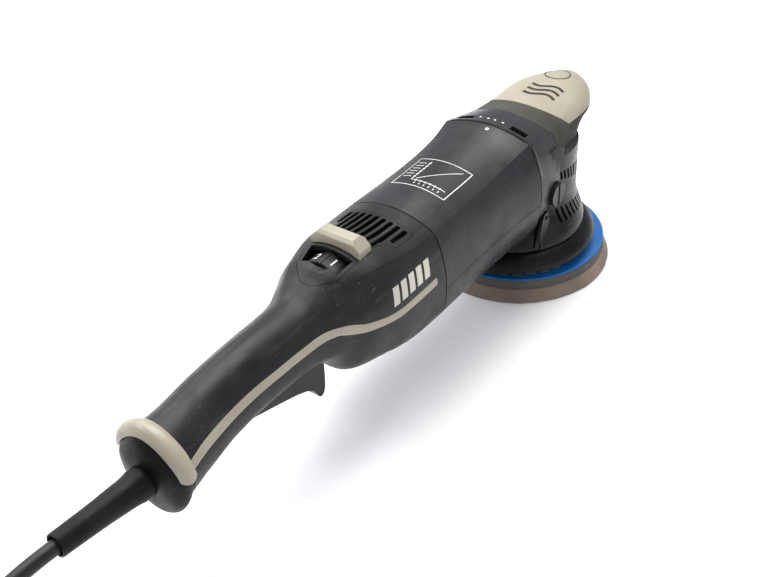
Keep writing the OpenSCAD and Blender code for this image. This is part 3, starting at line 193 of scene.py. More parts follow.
DUST = (0.16, 0.155, 0.145)
SURFACES = {
    "graphite_shell": surface("graphite_shell", (0.0155, 0.0165, 0.018), 0.34, spec=0.26,
                              grain=0.22, grain_mm=0.45,
                              mottle=0.16, dust=0.06, dust_colour=DUST, specks=0.16, scratches=0.1,
                              streaks=0.05),
    "handle_plastic": surface("handle_plastic", (0.0062, 0.0066, 0.0072), 0.38, spec=0.26,
                              grain=0.2, grain_mm=0.5,
                              mottle=0.18, dust=0.04, dust_colour=DUST, specks=0.16, scratches=0.12,
                              streaks=0.12),
    "neck_plastic": surface("neck_plastic", (0.005, 0.0054, 0.0058), 0.32, spec=0.22, grain=0.18, mottle=0.2,
                            dust=0.06, dust_colour=DUST, specks=0.25, scratches=0.09, streaks=0.05),
    "dark_trim": surface("dark_trim", (0.0055, 0.0055, 0.006), 0.34, spec=0.3, grain=0.15, dust=0.04,
                         dust_colour=DUST, specks=0.15),
    "cream_plastic": surface("cream_plastic", (0.315, 0.285, 0.215), 0.4, grain=0.1, mottle=0.06,
                             dust=0.12, dust_colour=(0.2, 0.155, 0.09), specks=0.1, coat=0.1,
                             scratches=0.06, streaks=0.1),
    "grey_rubber": surface("grey_rubber", (0.043, 0.0415, 0.035), 0.7, spec=0.25, grain=0.7, grain_mm=0.9,
                           mottle=0.3, dust=0.5, dust_colour=(0.022, 0.02, 0.016), specks=0.1),
    "black_rubber": surface("black_rubber", (0.0035, 0.0035, 0.004), 0.4, spec=0.12, grain=0.2, grain_mm=0.7,
                            mottle=0.25, dust=0.04, dust_colour=DUST, specks=0.15),
    "blue_plate": surface("blue_plate", (0.003, 0.13, 0.43), 0.42, grain=0.12, dust=0.1,
                          dust_colour=(0.1, 0.16, 0.25), scratches=0.05),
    "plate_foam": surface("plate_foam", (0.085, 0.08, 0.07), 0.85, grain=0.9, grain_mm=0.7,
                          mottle=0.25, dust=0.2, dust_colour=(0.16, 0.15, 0.13)),
    "pad_foam": surface("pad_foam", (0.205, 0.15, 0.118), 0.9, grain=1.0, grain_mm=0.8, mottle=0.22,
                        dust=0.3, dust_colour=(0.36, 0.31, 0.27), sheen=0.12),
    "cord_jacket": surface("cord_jacket", (0.006, 0.006, 0.0065), 0.44, spec=0.3, grain=0.12, dust=0.08,
                           dust_colour=DUST),
    "steel": surface("steel", (0.55, 0.55, 0.56), 0.3, metal=1, grain=0.08, dust=0.05),
    "laminations": surface("laminations", (0.3, 0.3, 0.31), 0.45, metal=0.9, grain=0.5, brushed=30),
    "dark_steel": surface("dark_steel", (0.18, 0.18, 0.19), 0.35, metal=1, grain=0.1),
    "cast_alloy": surface("cast_alloy", (0.5, 0.51, 0.52), 0.5, metal=1, grain=0.3, grain_mm=0.8),
    "weight_metal": surface("weight_metal", (0.3, 0.28, 0.25), 0.5, metal=0.9, grain=0.4, grain_mm=1),
    "copper": surface("copper", (0.45, 0.17, 0.07), 0.35, metal=1, grain=0.4, brushed=12),
    "brass": surface("brass", (0.6, 0.43, 0.17), 0.3, metal=1, grain=0.1),
    "carbon": surface("carbon", (0.02, 0.02, 0.022), 0.6),
    "inner_plastic": surface("inner_plastic", (0.02, 0.02, 0.022), 0.5),
    "fan_plastic": surface("fan_plastic", (0.62, 0.62, 0.58), 0.45),
    "red_plastic": surface("red_plastic", (0.45, 0.03, 0.02), 0.4),
    "capacitor_case": surface("capacitor_case", (0.6, 0.45, 0.08), 0.35),
    "board": surface("board", (0.02, 0.06, 0.035), 0.4),
}
WHITE_PRINT = surface("white_print", (0.62, 0.63, 0.62), 0.5, grain=0, mottle=0.15, dust=0.3,
                      dust_colour=(0.2, 0.2, 0.2))
DARK_PRINT = surface("dark_print", (0.012, 0.012, 0.012), 0.4, grain=0, mottle=0.1)
CREAM_PRINT = surface("cream_print", (0.56, 0.53, 0.46), 0.5, grain=0, mottle=0.12, dust=0.25,
                      dust_colour=(0.25, 0.23, 0.2))
# Matte near-black for the seam lines and the flank ridge line: painted shade in the seam gaps and along the
# ridge.
SEAM_SHADE = surface("painted_seam_shade", (0.0015, 0.0015, 0.0015), 0.75, grain=0, dust=0.03, dust_colour=DUST,
                     spec=0.08)
GLOSS_BLACK = surface("gloss_black", (0.004, 0.004, 0.004), 0.16, grain=0, rough_vary=0.05, dust=0.1,
                      dust_colour=(0.2, 0.2, 0.2))

# ---- Mesh tools ----------------------------------------------------------------------------


def add(name, verts, faces, finish=None, sharp=None):
    """A mesh object from points in millimetres."""
    mesh = bpy.data.meshes.new(name)
    mesh.from_pydata([tuple(np.asarray(v, float) * MM) for v in verts], [], faces)
    mesh.validate()
    o = bpy.data.objects.new(name, mesh)
    bpy.context.scene.collection.objects.link(o)
    if finish:
        o.data.materials.append(SURFACES[finish] if isinstance(finish, str) else finish)
    if sharp is not None:
        smooth(o, sharp)
    return o


def smooth(o, angle, dissolve=0.0):
    """Smooth shading, with the edges sharper than the angle kept hard."""
    b = bmesh.new()
    b.from_mesh(o.data)
    bmesh.ops.remove_doubles(b, verts=b.verts, dist=1e-6)
    if dissolve:
        bmesh.ops.dissolve_limit(b, angle_limit=math.radians(dissolve), verts=b.verts, edges=b.edges)
    bmesh.ops.recalc_face_normals(b, faces=b.faces)
    for f in b.faces:
        f.smooth = True
    for e in b.edges:
        e.smooth = len(e.link_faces) != 2 or e.calc_face_angle(0) < math.radians(angle)
    b.to_mesh(o.data)
    b.free()
    o.data.update()


def soften(o, width=0.35, angle=40, segments=2):
    """A small round on hard edges, as moulded and machined parts have."""
    bevel = o.modifiers.new("edge_round", "BEVEL")
    bevel.width, bevel.segments, bevel.limit_method = width * MM, segments, "ANGLE"
    bevel.angle_limit = math.radians(angle)
    bevel.use_clamp_overlap = True
    o.modifiers.new("even_normals", "WEIGHTED_NORMAL").keep_sharp = True
    return o


def stand_for(o, *names):
    """The piece stands for these CAD nodes: it rides on their body, and they are hidden."""
    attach(o, node_body[names[0]])
    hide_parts(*names)
    return o


def refine(node, width):
    """A copy of a CAD piece with smooth shading and softened edges."""
    o = nodes[node].copy()
    o.data = nodes[node].data.copy()
    o.name = node + "_shown"
    for key in list(o.keys()):
        if key.startswith("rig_"):
            del o[key]
    o.parent = None
    bpy.context.scene.collection.objects.link(o)
    o.data.materials.clear()
    o.data.materials.append(SURFACES[node_slot[node]])
    smooth(o, 30, dissolve=0.4)
    soften(o, width)
    return stand_for(o, node)


def boolean(o, cutters, operation="DIFFERENCE"):
    """Cuts, joins or meets the piece with the cutters, which are used up."""
    for c in cutters:
        m = o.modifiers.new("cut", "BOOLEAN")
        m.object, m.operation, m.solver = c, operation, "EXACT"
    graph = bpy.context.evaluated_depsgraph_get()
    mesh = bpy.data.meshes.new_from_object(o.evaluated_get(graph))
    o.modifiers.clear()
    o.data = mesh
    for c in cutters:
        bpy.data.objects.remove(c)
    return o


def prism(points, low, high, axis="z"):
    """A prism over a polygon: in the XY plane along Z, or in the XZ plane along Y."""
    n = len(points)
    put = {"z": lambda p, h: (p[0], p[1], h), "y": lambda p, h: (p[0], h, p[1]),
           "x": lambda p, h: (h, p[0], p[1])}[axis]
    verts = [put(p, low) for p in points] + [put(p, high) for p in points]
    faces = [tuple(range(n)), tuple(range(2 * n - 1, n - 1, -1))]
    faces += [(i, i + n, (i + 1) % n + n, (i + 1) % n) for i in range(n)]
    o = add("cutter", verts, faces)
    smooth(o, 30)
    return o


def rod(centre, r, low, high, axis="z", n=48):
    u, v = centre
    return prism([(u + r * math.cos(2 * math.pi * i / n), v + r * math.sin(2 * math.pi * i / n))
                  for i in range(n)], low, high, axis)


def lathe(name, profile, centre, finish, n=144, sharp=35, wobble=None):
    """A turned shape about a vertical axis, from [radius, height] corners of a closed outline."""
    verts, faces, m = [], [], len(profile)
    for i in range(n):
        a = 2 * math.pi * i / n
        for j, (r, z) in enumerate(profile):
            if wobble:
                r, z = wobble(r, z, a)
            verts.append((centre[0] + r * math.cos(a), centre[1] + r * math.sin(a), z))
    for i in range(n):
        for j in range(m):
            faces.append((i * m + j, (i + 1) % n * m + j, (i + 1) % n * m + (j + 1) % m,
                          i * m + (j + 1) % m))
    return add(name, verts, faces, finish, sharp)


def rounded(points, r, n=5):
    """A closed outline with each corner rounded to radius r."""
    points = [np.array(p, float) for p in points]
    out = []
    for i, p in enumerate(points):
        a, b = points[i - 1] - p, points[(i + 1) % len(points)] - p
        la, lb = np.linalg.norm(a), np.linalg.norm(b)
        a, b = a / la, b / lb
        half = math.acos(max(-1, min(1, float(a @ b)))) / 2
        if half > math.radians(87):
            out.append(p)
            continue
        d = min(r / math.tan(half), la * 0.45, lb * 0.45)
        for k in range(n + 1):
            t = k / n
            out.append((1 - t) ** 2 * (p + a * d) + 2 * t * (1 - t) * p + t * t * (p + b * d))
    return [tuple(q) for q in out]


# ---- The body's shape ----------------------------------------------------------------------
FRONT_SEAM, REAR_SEAM, GRIP_START, GRIP_END = -34.5, -139.5, -229.5, -333.5
WALL, TRIM_W, CREASE = 3.0, 5.0, 20
# A station is x, crown height, crease half width, crease height, greatest half width, its height,
# bottom height, exponent of the bottom curve, height of the shell parting.
BODY = [
    [-34.5, 124, 31.7, 117.4, 42.3, 80, 36, 2.5, 84], [-55.5, 120.6, 29.6, 113.4, 40, 79, 36, 2.5, 84],
    [-87, 118.2, 29, 110.6, 38.4, 78, 36, 2.5, 84], [-139.5, 117.4, 30.2, 109.4, 37.9, 76, 36, 2.5, 84]]
REAR = [
    [-139.5, 117.4, 30.2, 109.4, 37.9, 76, 36, 2.5, 84],
    [-164.7, 118.6, 28.6, 110.6, 37.8, 77, 36.5, 2.4, 83.2],
    [-187.2, 120.8, 26, 113, 36.6, 80, 37, 1.9, 83.2],
    [-207, 117.5, 22, 109.5, 32.6, 85, 42.5, 1.9, 87],
    [-216.9, 112, 18.8, 105.2, 27.6, 88.5, 56, 2, 90.2],
    [-229.5, 107.2, 15.8, 100.6, 22.2, 87.5, 62.5, 2, 91.2],
    [-245.1, 106.4, 14.6, 99.3, 19.8, 86, 64, 2, 90.4],
    [-262.78, 106.4, 14.2, 99.2, 19.1, 85.5, 64.4, 2, 90.2],
    [-282.54, 105.4, 14.2, 98.1, 19.1, 84.6, 64.3, 2, 90.2],
    [-300.22, 103, 14.4, 95.7, 19.4, 82.2, 62.3, 2, 88.6],
    [-318.94, 99.4, 15.2, 91.7, 20.4, 78, 57.6, 2, 85.2],
    [-333.5, 98, 16.4, 90, 21.6, 75.5, 53, 2, 81.6]]
HEAD = [
    [-34.5, 124, 31.7, 117.4, 42.3, 80, 40, 2.5, 64], [-20, 122.8, 31.4, 115, 41.5, 80, 46, 2.5, 64],
    [-4.5, 121, 30.5, 111.8, 40.4, 82, 55, 2.5, 64], [8, 119.8, 28.5, 111.8, 39, 86, 68, 2.3, 64],
    [20, 119.5, 26.8, 112.8, 36.2, 94, 82, 2, 64], [30, 119.5, 25.4, 114.2, 33.4, 102, 87, 1.9, 64],
    [40, 119.6, 24.2, 115, 31.8, 106, 90, 1.8, 64], [50, 119.6, 22.6, 115.2, 30.2, 106.5, 90, 1.8, 64],
    [60, 119.3, 19, 115, 26.4, 107, 92.4, 1.9, 64], [70, 118, 14, 114.5, 20.4, 107.6, 96, 2, 64],
    [78, 115.6, 9, 113, 13.2, 108, 100.6, 2, 64], [82.6, 112.8, 4.6, 111.2, 6.8, 108.4, 104.4, 2, 64]]
BUMPER = [
    [-333.52, 97.8, 16.2, 89.8, 21.4, 75.5, 53, 2, 79.6], [-336.1, 98, 16.4, 90, 22.6, 76, 49, 2, 79.6],
    [-338.9, 97.4, 16.4, 89.4, 23, 76, 46.8, 2, 79.6], [-341.7, 95.8, 15.8, 88, 22.2, 75.5, 47.6, 2, 79.6],
    [-344.3, 92.4, 14, 85.4, 19.6, 75, 51, 2, 79.6], [-346.5, 87, 9.8, 82.5, 14, 74, 59, 2, 79.6]]


def station(table, x):
    f = np.array(sorted(table, key=lambda row: -row[0]))
    i = 0
    while i < len(f) - 2 and x < f[i + 1, 0]:
        i += 1

    def slope(j):
        a, b = max(0, j - 1), min(len(f) - 1, j + 1)
        return (f[b] - f[a]) / (f[b, 0] - f[a, 0])

    h = f[i + 1, 0] - f[i, 0]
    u = (x - f[i, 0]) / h
    s = ((2 * u ** 3 - 3 * u * u + 1) * f[i] + (u ** 3 - 2 * u * u + u) * h * slope(i)
         + (3 * u * u - 2 * u ** 3) * f[i + 1] + (u ** 3 - u * u) * h * slope(i + 1))
    s[0] = x
    return s


def inset(s, t):
    return np.array([s[0], s[1] - t, s[2] - t * 0.75, s[3] - t * 0.9, s[4] - t, s[5], s[6] + t, s[7], s[8]])


def outline(s, k):
    if k <= 1:
        return s[2] * k, s[1] - (s[1] - s[3]) * k * k
    if k <= 2:
        return s[4] - (s[4] - s[2]) * (2 - k) ** 2.2, s[3] + (s[5] - s[3]) * (k - 1)
    a = min(90, 90 * (k - 2))
    c, q = max(0.0, math.cos(math.radians(a))), math.sin(math.radians(a))
    return s[4] * c ** (2 / s[7]), s[5] - (s[5] - s[6]) * q ** (2 / s[7])


def flank_k(s, z):
    return 1 + (z - s[3]) / (s[5] - s[3])


def half(s, ks, passes=3):
    """Points of the half outline, with the crease rounded a little."""
    p = np.array([outline(s, k) for k in ks])
    for _ in range(passes):
        q = p.copy()
        q[1:-1] = (p[:-2] + 2 * p[1:-1] + p[2:]) / 4
        p = q
    return p


def row(s, ks, full, passes=3):
    """One row of points over both sides: a closed loop, or from the left edge to the right edge."""
    p = half(s, ks, passes)
    if full:
        return [(s[0], -y, z) for y, z in p] + [(s[0], y, z) for y, z in p[-2:0:-1]]
    return [(s[0], y, z) for y, z in p[::-1]] + [(s[0], -y, z) for y, z in p[1:]]


FULL_KS = np.concatenate([np.linspace(0, 1, 20), np.linspace(1, 2, 18)[1:], np.linspace(2, 3, 32)[1:]])


def skin(name, outer, inner, closed, finish):
    """A wall between two grids of points."""
    m, n = len(outer), len(outer[0])
    w = n if closed else n - 1
    verts = [p for r in outer for p in r] + [p for r in inner for p in r]
    o, q = (lambda i, j: i * n + j % n), (lambda i, j: m * n + i * n + j % n)
    faces = [(o(i, j), o(i, j + 1), o(i + 1, j + 1), o(i + 1, j)) for i in range(m - 1) for j in range(w)]
    faces += [(q(i, j + 1), q(i, j), q(i + 1, j), q(i + 1, j + 1)) for i in range(m - 1) for j in range(w)]
    for i in (0, m - 1):
        faces += [(o(i, j), q(i, j), q(i, j + 1), o(i, j + 1)) for j in range(w)]
    if not closed:
        for j in (0, n - 1):
            faces += [(o(i, j), o(i + 1, j), q(i + 1, j), q(i, j)) for i in range(m - 1)]
    return add(name, verts, faces, finish, 38)


def solid(name, rows, start, finish_point, finish=None):
    """A closed solid through closed loops, with its ends drawn to points."""
    m, n = len(rows), len(rows[0])
    verts = [p for r in rows for p in r] + [start, finish_point]
    faces = [(i * n + j, i * n + (j + 1) % n, (i + 1) * n + (j + 1) % n, (i + 1) * n + j)
             for i in range(m - 1) for j in range(n)]
    faces += [(m * n, (j + 1) % n, j) for j in range(n)]
    faces += [(m * n + 1, (m - 1) * n + j, (m - 1) * n + (j + 1) % n) for j in range(n)]
    return add(name, verts, faces, finish, 38)


def lipped(x0, x1, step):
    """Stations from x0 down to x1, and how far each is drawn in to round the two end edges."""
    xs = list(np.linspace(x0 - 0.5, x1 + 0.5, int(abs(x1 - x0) / step) + 2))
    return [x0, x0 - 0.15] + xs + [x1 + 0.15, x1], [0.5, 0.15] + [0] * len(xs) + [0.15, 0.5]


# ---- Housing -------------------------------------------------------------------------------


def motor_housing():
    xs, drawn = lipped(FRONT_SEAM - 0.1, REAR_SEAM + 0.1, 2.5)
    outer = [row(inset(station(BODY, x), t), FULL_KS, True, 0) for x, t in zip(xs, drawn)]
    inner = [row(inset(station(BODY, x), WALL), FULL_KS, True) for x in xs]
    o = skin("motor_body", outer, inner, True, "graphite_shell")
    neck = lathe("cutter", [(0, 20), (49.75, 20), (49.75, 36), (50.45, 38.5), (49.4, 42), (46.9, 47),
                            (44.5, 52), (42.9, 57), (42.3, 61), (42.3, 64), (0, 64)], (2.6, 0), None, 96)
    boolean(o, [neck])
    smooth(o, CREASE)
    stand_for(o, "motor_housing")


SHELL_XS, SHELL_DRAWN = lipped(REAR_SEAM - 0.1, GRIP_END, 2.6)
TRIM_START = REAR_SEAM - 9
GRILLE_X0, GRILLE_X1 = REAR_SEAM - 90 * 0.455, REAR_SEAM - 90 * 0.12
DIAL_X, DIAL_Z = REAR_SEAM - 90 * 0.683, 104.5


def trim_half(x):
    return 0.03 if x > TRIM_START else TRIM_W / 2 + 0.05


def with_step(xs, drawn):
    rows = sorted(list(zip(xs, drawn)) + [(TRIM_START + 0.05, 0), (TRIM_START - 0.05, 0)], reverse=True)
    return rows


def grille_outline():
    x0, x1 = GRILLE_X0, GRILLE_X1
    return rounded([(x1, -24), (x1 - 17.5, -24), (x1 - 20, -18), (x0, -16), (x0, 16), (x1 - 20, 18),
                    (x1 - 17.5, 24), (x1, 24)], 2.2)


def bezel_outline():
    return rounded([(GRILLE_X0 - 0.5, -16), (DIAL_X + 8, -17), (DIAL_X - 8, -15), (DIAL_X - 15, -8),
                    (DIAL_X - 18, -3), (DIAL_X - 18, 3), (DIAL_X - 15, 8), (DIAL_X - 8, 15),
                    (DIAL_X + 8, 17), (GRILLE_X0 - 0.5, 16)], 2)


POSTS = [(-181.5, 24, 62), (-181.5, -24, 62), (-303.5, 0, 66), (-325.5, 8, 62), (-325.5, -8, 62)]


def handle():
    def rows(upper, t):
        out = []
        for x, d in with_step(SHELL_XS, SHELL_DRAWN):
            s = inset(station(REAR, x), d if t == 0 else t)
            k0 = flank_k(s, s[8] + (trim_half(x) if upper else -trim_half(x)))
            if upper:
                ks = np.concatenate([np.linspace(0, 1, 20), np.linspace(1, k0, 10)[1:]])
                out.append(row(s, ks, False, 0))
            else:
                ks = np.concatenate([np.linspace(k0, 2, 10), np.linspace(2, 3, 36)[1:]])
                p = half(s, ks, 1)
                out.append([(s[0], y, z) for y, z in p] + [(s[0], -y, z) for y, z in p[-2::-1]])
        return out

    upper = skin("grip_upper", rows(True, 0), rows(True, WALL), False, "handle_plastic")
    boolean(upper, [prism(grille_outline(), 80, 140), prism(bezel_outline(), 80, 140)])
    smooth(upper, CREASE)
    stand_for(soften(upper, 0.25, 50), "handle_upper_shell")

    lower = skin("grip_lower", rows(False, 0), rows(False, WALL), False, "handle_plastic")
    posts = []
    for x, y, seat in POSTS:
        s = station(REAR, x)
        floor = s[5] - (s[5] - s[6]) * (1 - min(1, (abs(y) + 4.5) / s[4]) ** s[7]) ** (1 / s[7])
        posts.append(rod((x, y), 4.5, floor + 0.6, seat + 21.4))
    boolean(lower, posts, "UNION")
    cuts = [rod((x, y), 4.1, 20, seat) for x, y, seat in POSTS]
    cuts += [rod((x, y), 2.05, 20, seat + 30) for x, y, seat in POSTS]
    cuts.append(prism(rounded([(-286.5, -10.6), (-217.5, -10.6), (-217.5, 10.6), (-286.5, 10.6)], 1.2),
                      20, 80))
    boolean(lower, cuts)
    smooth(lower, 38)
    stand_for(soften(lower, 0.25, 50), "handle_lower_shell")

    def side(sign, t):
        out = []
        for x, d in with_step(SHELL_XS, SHELL_DRAWN):
            if x > TRIM_START + 0.7 or (x > TRIM_START - 0.02 and x != TRIM_START - 0.05):
                continue
            s = inset(station(REAR, x), t)
            crown = np.linspace(-1, 1, 9)
            line = []
            for c in crown:
                swell = 0.0 if t > 0 else 0.35 * (1 - abs(c) ** 3)
                y, z = outline(s, flank_k(s, s[8] + c * TRIM_W / 2))
                line.append((x, sign * (y + swell), z))
            out.append(line)
        return out

    strips = []
    for sign in (1, -1):
        outer, inner = side(sign, 0.0), side(sign, WALL)
        strips.append(skin(f"trim_{'left' if sign > 0 else 'right'}", outer, inner, False, "cream_plastic"))
    for o in strips:
        soften(o, 0.3, 50)
        stand_for(o, "trim_strips")


def crown_patch(name, points, finish, slots=()):
    xs = list(np.arange(REAR_SEAM - 6, GRIP_START, -2.2))
    ks = np.concatenate([np.linspace(0, 1, 20), np.linspace(1, 1.35, 5)[1:]])
    o = skin(name, [row(station(REAR, x), ks, False) for x in xs],
             [row(inset(station(REAR, x), WALL), ks, False) for x in xs], False, finish)
    boolean(o, [prism(points, 80, 140)], "INTERSECT")
    if slots:
        boolean(o, slots)
    smooth(o, 38)
    return soften(o, 0.3, 50)


def shrink(points, g):
    """The outline drawn towards its middle, so that an inlay keeps a gap round it."""
    c = np.mean(points, axis=0)
    offsets = [np.array(p) - c for p in points]
    return [tuple(c + d * (1 - g / max(1.0, np.linalg.norm(d)))) for d in offsets]


def grille_and_dial():
    slots = []
    for i in range(-4, 5):
        long = abs(i) <= 3
        a, b = (GRILLE_X0 + 2 if long else GRILLE_X1 - 16), (GRILLE_X1 - 2)
        y = i * 4.9
        corners = [(a, y - 1.5), (b, y - 1.5), (b, y + 1.5), (a, y + 1.5)]
        slots.append(prism(rounded(corners, 1.2, 4), 90, 140))
    stand_for(crown_patch("grille", shrink(grille_outline(), 0.3), "handle_plastic", slots), "vent_grille")
    front, back = DIAL_X + 5.5 + 0.6, DIAL_X - 5.5 - 0.6
    hole = prism([(front, -14.8), (front, 14.8), (back, 12.6), (back, -12.6)], 80, 140)
    scoop = lathe("cutter", [(0, -3.4)] + [(10.2 * math.sin(a), -3.4 * math.cos(a))
                                           for a in np.linspace(0.15, math.pi - 0.15, 16)] + [(0, 3.4)],
                  (0, 0), None, 64)
    scoop.data.transform(Matrix.Translation(((DIAL_X - 5.6) * MM, 0, 119.2 * MM))
                         @ Matrix.Rotation(math.radians(-14), 4, "Y") @ Matrix.Diagonal((0.86, 1.08, 1, 1)))
    stand_for(crown_patch("dial_surround", shrink(bezel_outline(), 0.3), "handle_plastic", [hole, scoop]),
              "dial_bezel")
    # The dial: seven faces with ribbed strips between them
    rows = []
    for x, drop in ((-5.5, 0.7), (-5.2, 0.2), (-4.6, 0), (4.6, 0), (5.2, 0.2), (5.5, 0.7)):
        line = []
        for i in range(7 * 36):
            a = 2 * math.pi * (i + 0.5) / (7 * 36)
            off = (a + math.pi / 7) % (2 * math.pi / 7) - math.pi / 7
            edge = abs(off) * 180 / math.pi
            r = 13.15 / math.cos(min(abs(math.pi / 7 - abs(off)), 0.36))
            r = min(r, 13.95)
            if edge < 7.5:
                r = 13.95 - 0.45 * (0.5 + 0.5 * math.cos(edge * 2 * math.pi / 3.0))
            r -= drop
            line.append((DIAL_X + x, r * math.sin(a), DIAL_Z + r * math.cos(a)))
        rows.append(line)
    dial = solid("dial", rows, (DIAL_X - 5.5, 0, DIAL_Z), (DIAL_X + 5.5, 0, DIAL_Z), "dark_trim")
    smooth(dial, 30)
    boolean(dial, [rod((0, DIAL_Z), 2.97, DIAL_X, DIAL_X + 14.5, "x")], "UNION")
    smooth(dial, 30)
    stand_for(dial, "speed_dial")
    for i in range(6):
        a = math.radians(-360 / 14 + i * 360 / 7)
        data = bpy.data.curves.new(f"number_{i + 1}", "FONT")
        data.body, data.size, data.align_x, data.align_y = str(i + 1), 8 * MM, "CENTER", "CENTER"
        data.offset = 0.00012
        holder = bpy.data.objects.new("number", data)
        bpy.context.scene.collection.objects.link(holder)
        bpy.context.view_layer.update()
        mesh = bpy.data.meshes.new_from_object(holder)
        bpy.data.objects.remove(holder)
        out = Vector((0, math.sin(a), math.cos(a)))
        up, side = Vector((1, 0, 0)), Vector((1, 0, 0)).cross(out)
        place = Matrix((
            (side.x, up.x, out.x, DIAL_X * MM), (side.y, up.y, out.y, 0), (side.z, up.z, out.z, DIAL_Z * MM),
            (0, 0, 0, 1))) @ Matrix.Translation((0, 0, 13.22 * MM))
        mesh.transform(place)
        o = bpy.data.objects.new(f"dial_number_{i + 1}", mesh)
        bpy.context.scene.collection.objects.link(o)
        o.data.materials.append(WHITE_PRINT)
        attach(o, "dial")


def nose():
    def loft(t):
        xs = list(np.linspace(FRONT_SEAM, 20, 24)) + list(np.linspace(22, 82.6, 34))
        rows = [row(inset(station(HEAD, x), t), FULL_KS, True, 1 if x > 20 else 0) for x in xs]
        last = np.array(rows[-1])
        centre = np.array([0, 0, 108.8])
        for x, f in ((83.2, 0.95), (83.8, 0.8), (84.25, 0.56), (84.5, 0.3)):
            ring = last.copy()
            ring[:, 1:] = centre[1:] + (last[:, 1:] - centre[1:]) * f
            ring[:, 0] = x
            rows.append([tuple(p) for p in ring])
        rows = [[(p[0] - (t if p[0] > 80 else 0), p[1], p[2]) for p in r] for r in rows]
        s = station(HEAD, FRONT_SEAM)
        return rows[::-1], (84.6 - t, 0, 108.8), (FRONT_SEAM, 0, (s[1] + s[6]) / 2)

    def shell(name, finish):
        outer = solid(name, *loft(0), finish)
        boolean(outer, [solid("cutter", *loft(3.0))])
        return outer

    grip_region = [(-12, 125), (-2.6, 109), (-4.5, 97), (95, 97), (95, 125)]
    grip = shell("nose_band", "grey_rubber")
    boolean(grip, [prism(grip_region, -60, 60, "y")], "INTERSECT")
    boolean(grip, [prism([(3.4, 126), (19, 107.5), (96, 107.5), (96, 126)], -61, 61, "y")])
    smooth(grip, 38)
    stand_for(soften(grip, 0.3, 50), "nose_grip")
    cap = shell("nose_top", "cream_plastic")
    boolean(cap, [prism([(3.75, 125), (19.2, 107.65), (95, 107.65), (95, 125)], -60, 60, "y")], "INTERSECT")
    smooth(cap, 38)
    stand_for(soften(cap, 0.35, 50), "nose_cap")


def arch_and_bumper():
    rows_out, rows_in = [], []
    for i in range(23):
        u = i / 22
        x = GRIP_END + 1.6 - 9.8 * u
        s = station(REAR, x) if x > GRIP_END else station(BUMPER, x)
        proud = 0.9 + 3.5 * max(0.0, 1 - abs(2 * u - 1) ** 3.2) ** 0.6
        for rows, t in ((rows_out, -proud), (rows_in, -0.45)):
            r = inset(s, t)
            ks = np.concatenate([np.linspace(0, 1, 18), np.linspace(1, flank_k(r, 79.6), 10)[1:]])
            rows.append(row(r, ks, False))
    o = skin("end_hoop", rows_out, rows_in, False, "cream_plastic")
    stand_for(soften(o, 0.8, 45, 3), "end_arch")
    xs = np.linspace(GRIP_END - 0.02, GRIP_END - 13, 22)
    rows = [row(station(BUMPER, x), FULL_KS, True) for x in xs]
    last = station(BUMPER, xs[-1])
    tip = (xs[-1] - 1.5, 0, (last[1] + last[6]) / 2)
    o = solid("tail_block", rows, (xs[0], 0, 75.4), tip, "black_rubber")
    cut = add("cutter", *along([(9.05, -30), (9.05, 30)]))
    smooth(cut, 30)
    boolean(o, [cut])
    smooth(o, 38)
    stand_for(o, "rear_bumper")


# ---- Cord ----------------------------------------------------------------------------------


SLEEVE_START = np.array([GRIP_END - 9, 0, 72.2])
SLEEVE_TILT = math.radians(5.6)


def along(profile, n=72):
    """Vertices and faces of a turned shape about the cord sleeve's axis: [radius, distance]."""
    d = np.array([-math.cos(SLEEVE_TILT), 0, math.sin(SLEEVE_TILT)])
    u = np.array([0, 1, 0])
    w = np.cross(d, u)
    round_axis = [math.cos(2 * math.pi * i / n) * u + math.sin(2 * math.pi * i / n) * w for i in range(n)]
    verts = [tuple(SLEEVE_START + d * t + r * side) for r, t in profile for side in round_axis]
    m = len(profile)
    faces = [(j * n + i, j * n + (i + 1) % n, (j + 1) * n + (i + 1) % n, (j + 1) * n + i)
             for j in range(m - 1) for i in range(n)]
    faces += [tuple(range(n)), tuple(range(m * n - 1, (m - 1) * n - 1, -1))]
    return verts, faces


def strain_relief():
    outer = [(9, 0), (9, 9.6), (8.75, 10.6), (8.4, 12.5), (8.1, 15), (7.9, 18), (7.2, 30), (6.75, 44),
             (6.55, 52), (6.5, 56), (6.35, 56.8), (6.1, 57), (5.5, 57), (5.3, 56.7), (5.25, 52), (4.15, 51.8),
             (4.15, 0)]
    verts, faces = along(outer)
    m, n = len(outer), 72
    faces = faces[:-2] + [((m - 1) * n + i, (m - 1) * n + (i + 1) % n, (i + 1) % n, i) for i in range(n)]
    stand_for(add("cord_sleeve", verts, faces, "black_rubber", 40), "strain_relief")


ROUTE = [(-391.5, 0, 76.9), (-400, 0, 77.6), (-410, 0, 78.2), (-420, 0, 78.2), (-430, 0, 77.2),
         (-440, 0, 75), (-450, 0, 71.6), (-460, 0, 67), (-470, 0, 61.5), (-480, 0, 55.5),
         (-490, 0, 49.4), (-500, 0, 43.6), (-510, 0, 38.4), (-520, 0, 34), (-530, 0, 30.6),
         (-540, 0, 28.6), (-550, 0, 28)]
CORD_D, COIL_X, COIL_R, WIDE, COIL_TURNS = 8.0, -550, 48.0, 4, 12.5
COIL_Y = COIL_R + (WIDE - 1) * CORD_D / 2
TAIL_ROUTE = [(-550, 4), (-540, 4.2), (-530, 5.6), (-520, 8), (-510, 10.6), (-502, 12.2), (-496, 12.9)]


def step(u, start, width):
    t = min(1, max(0, (u - start) / width))
    return t * t * (3 - 2 * t)


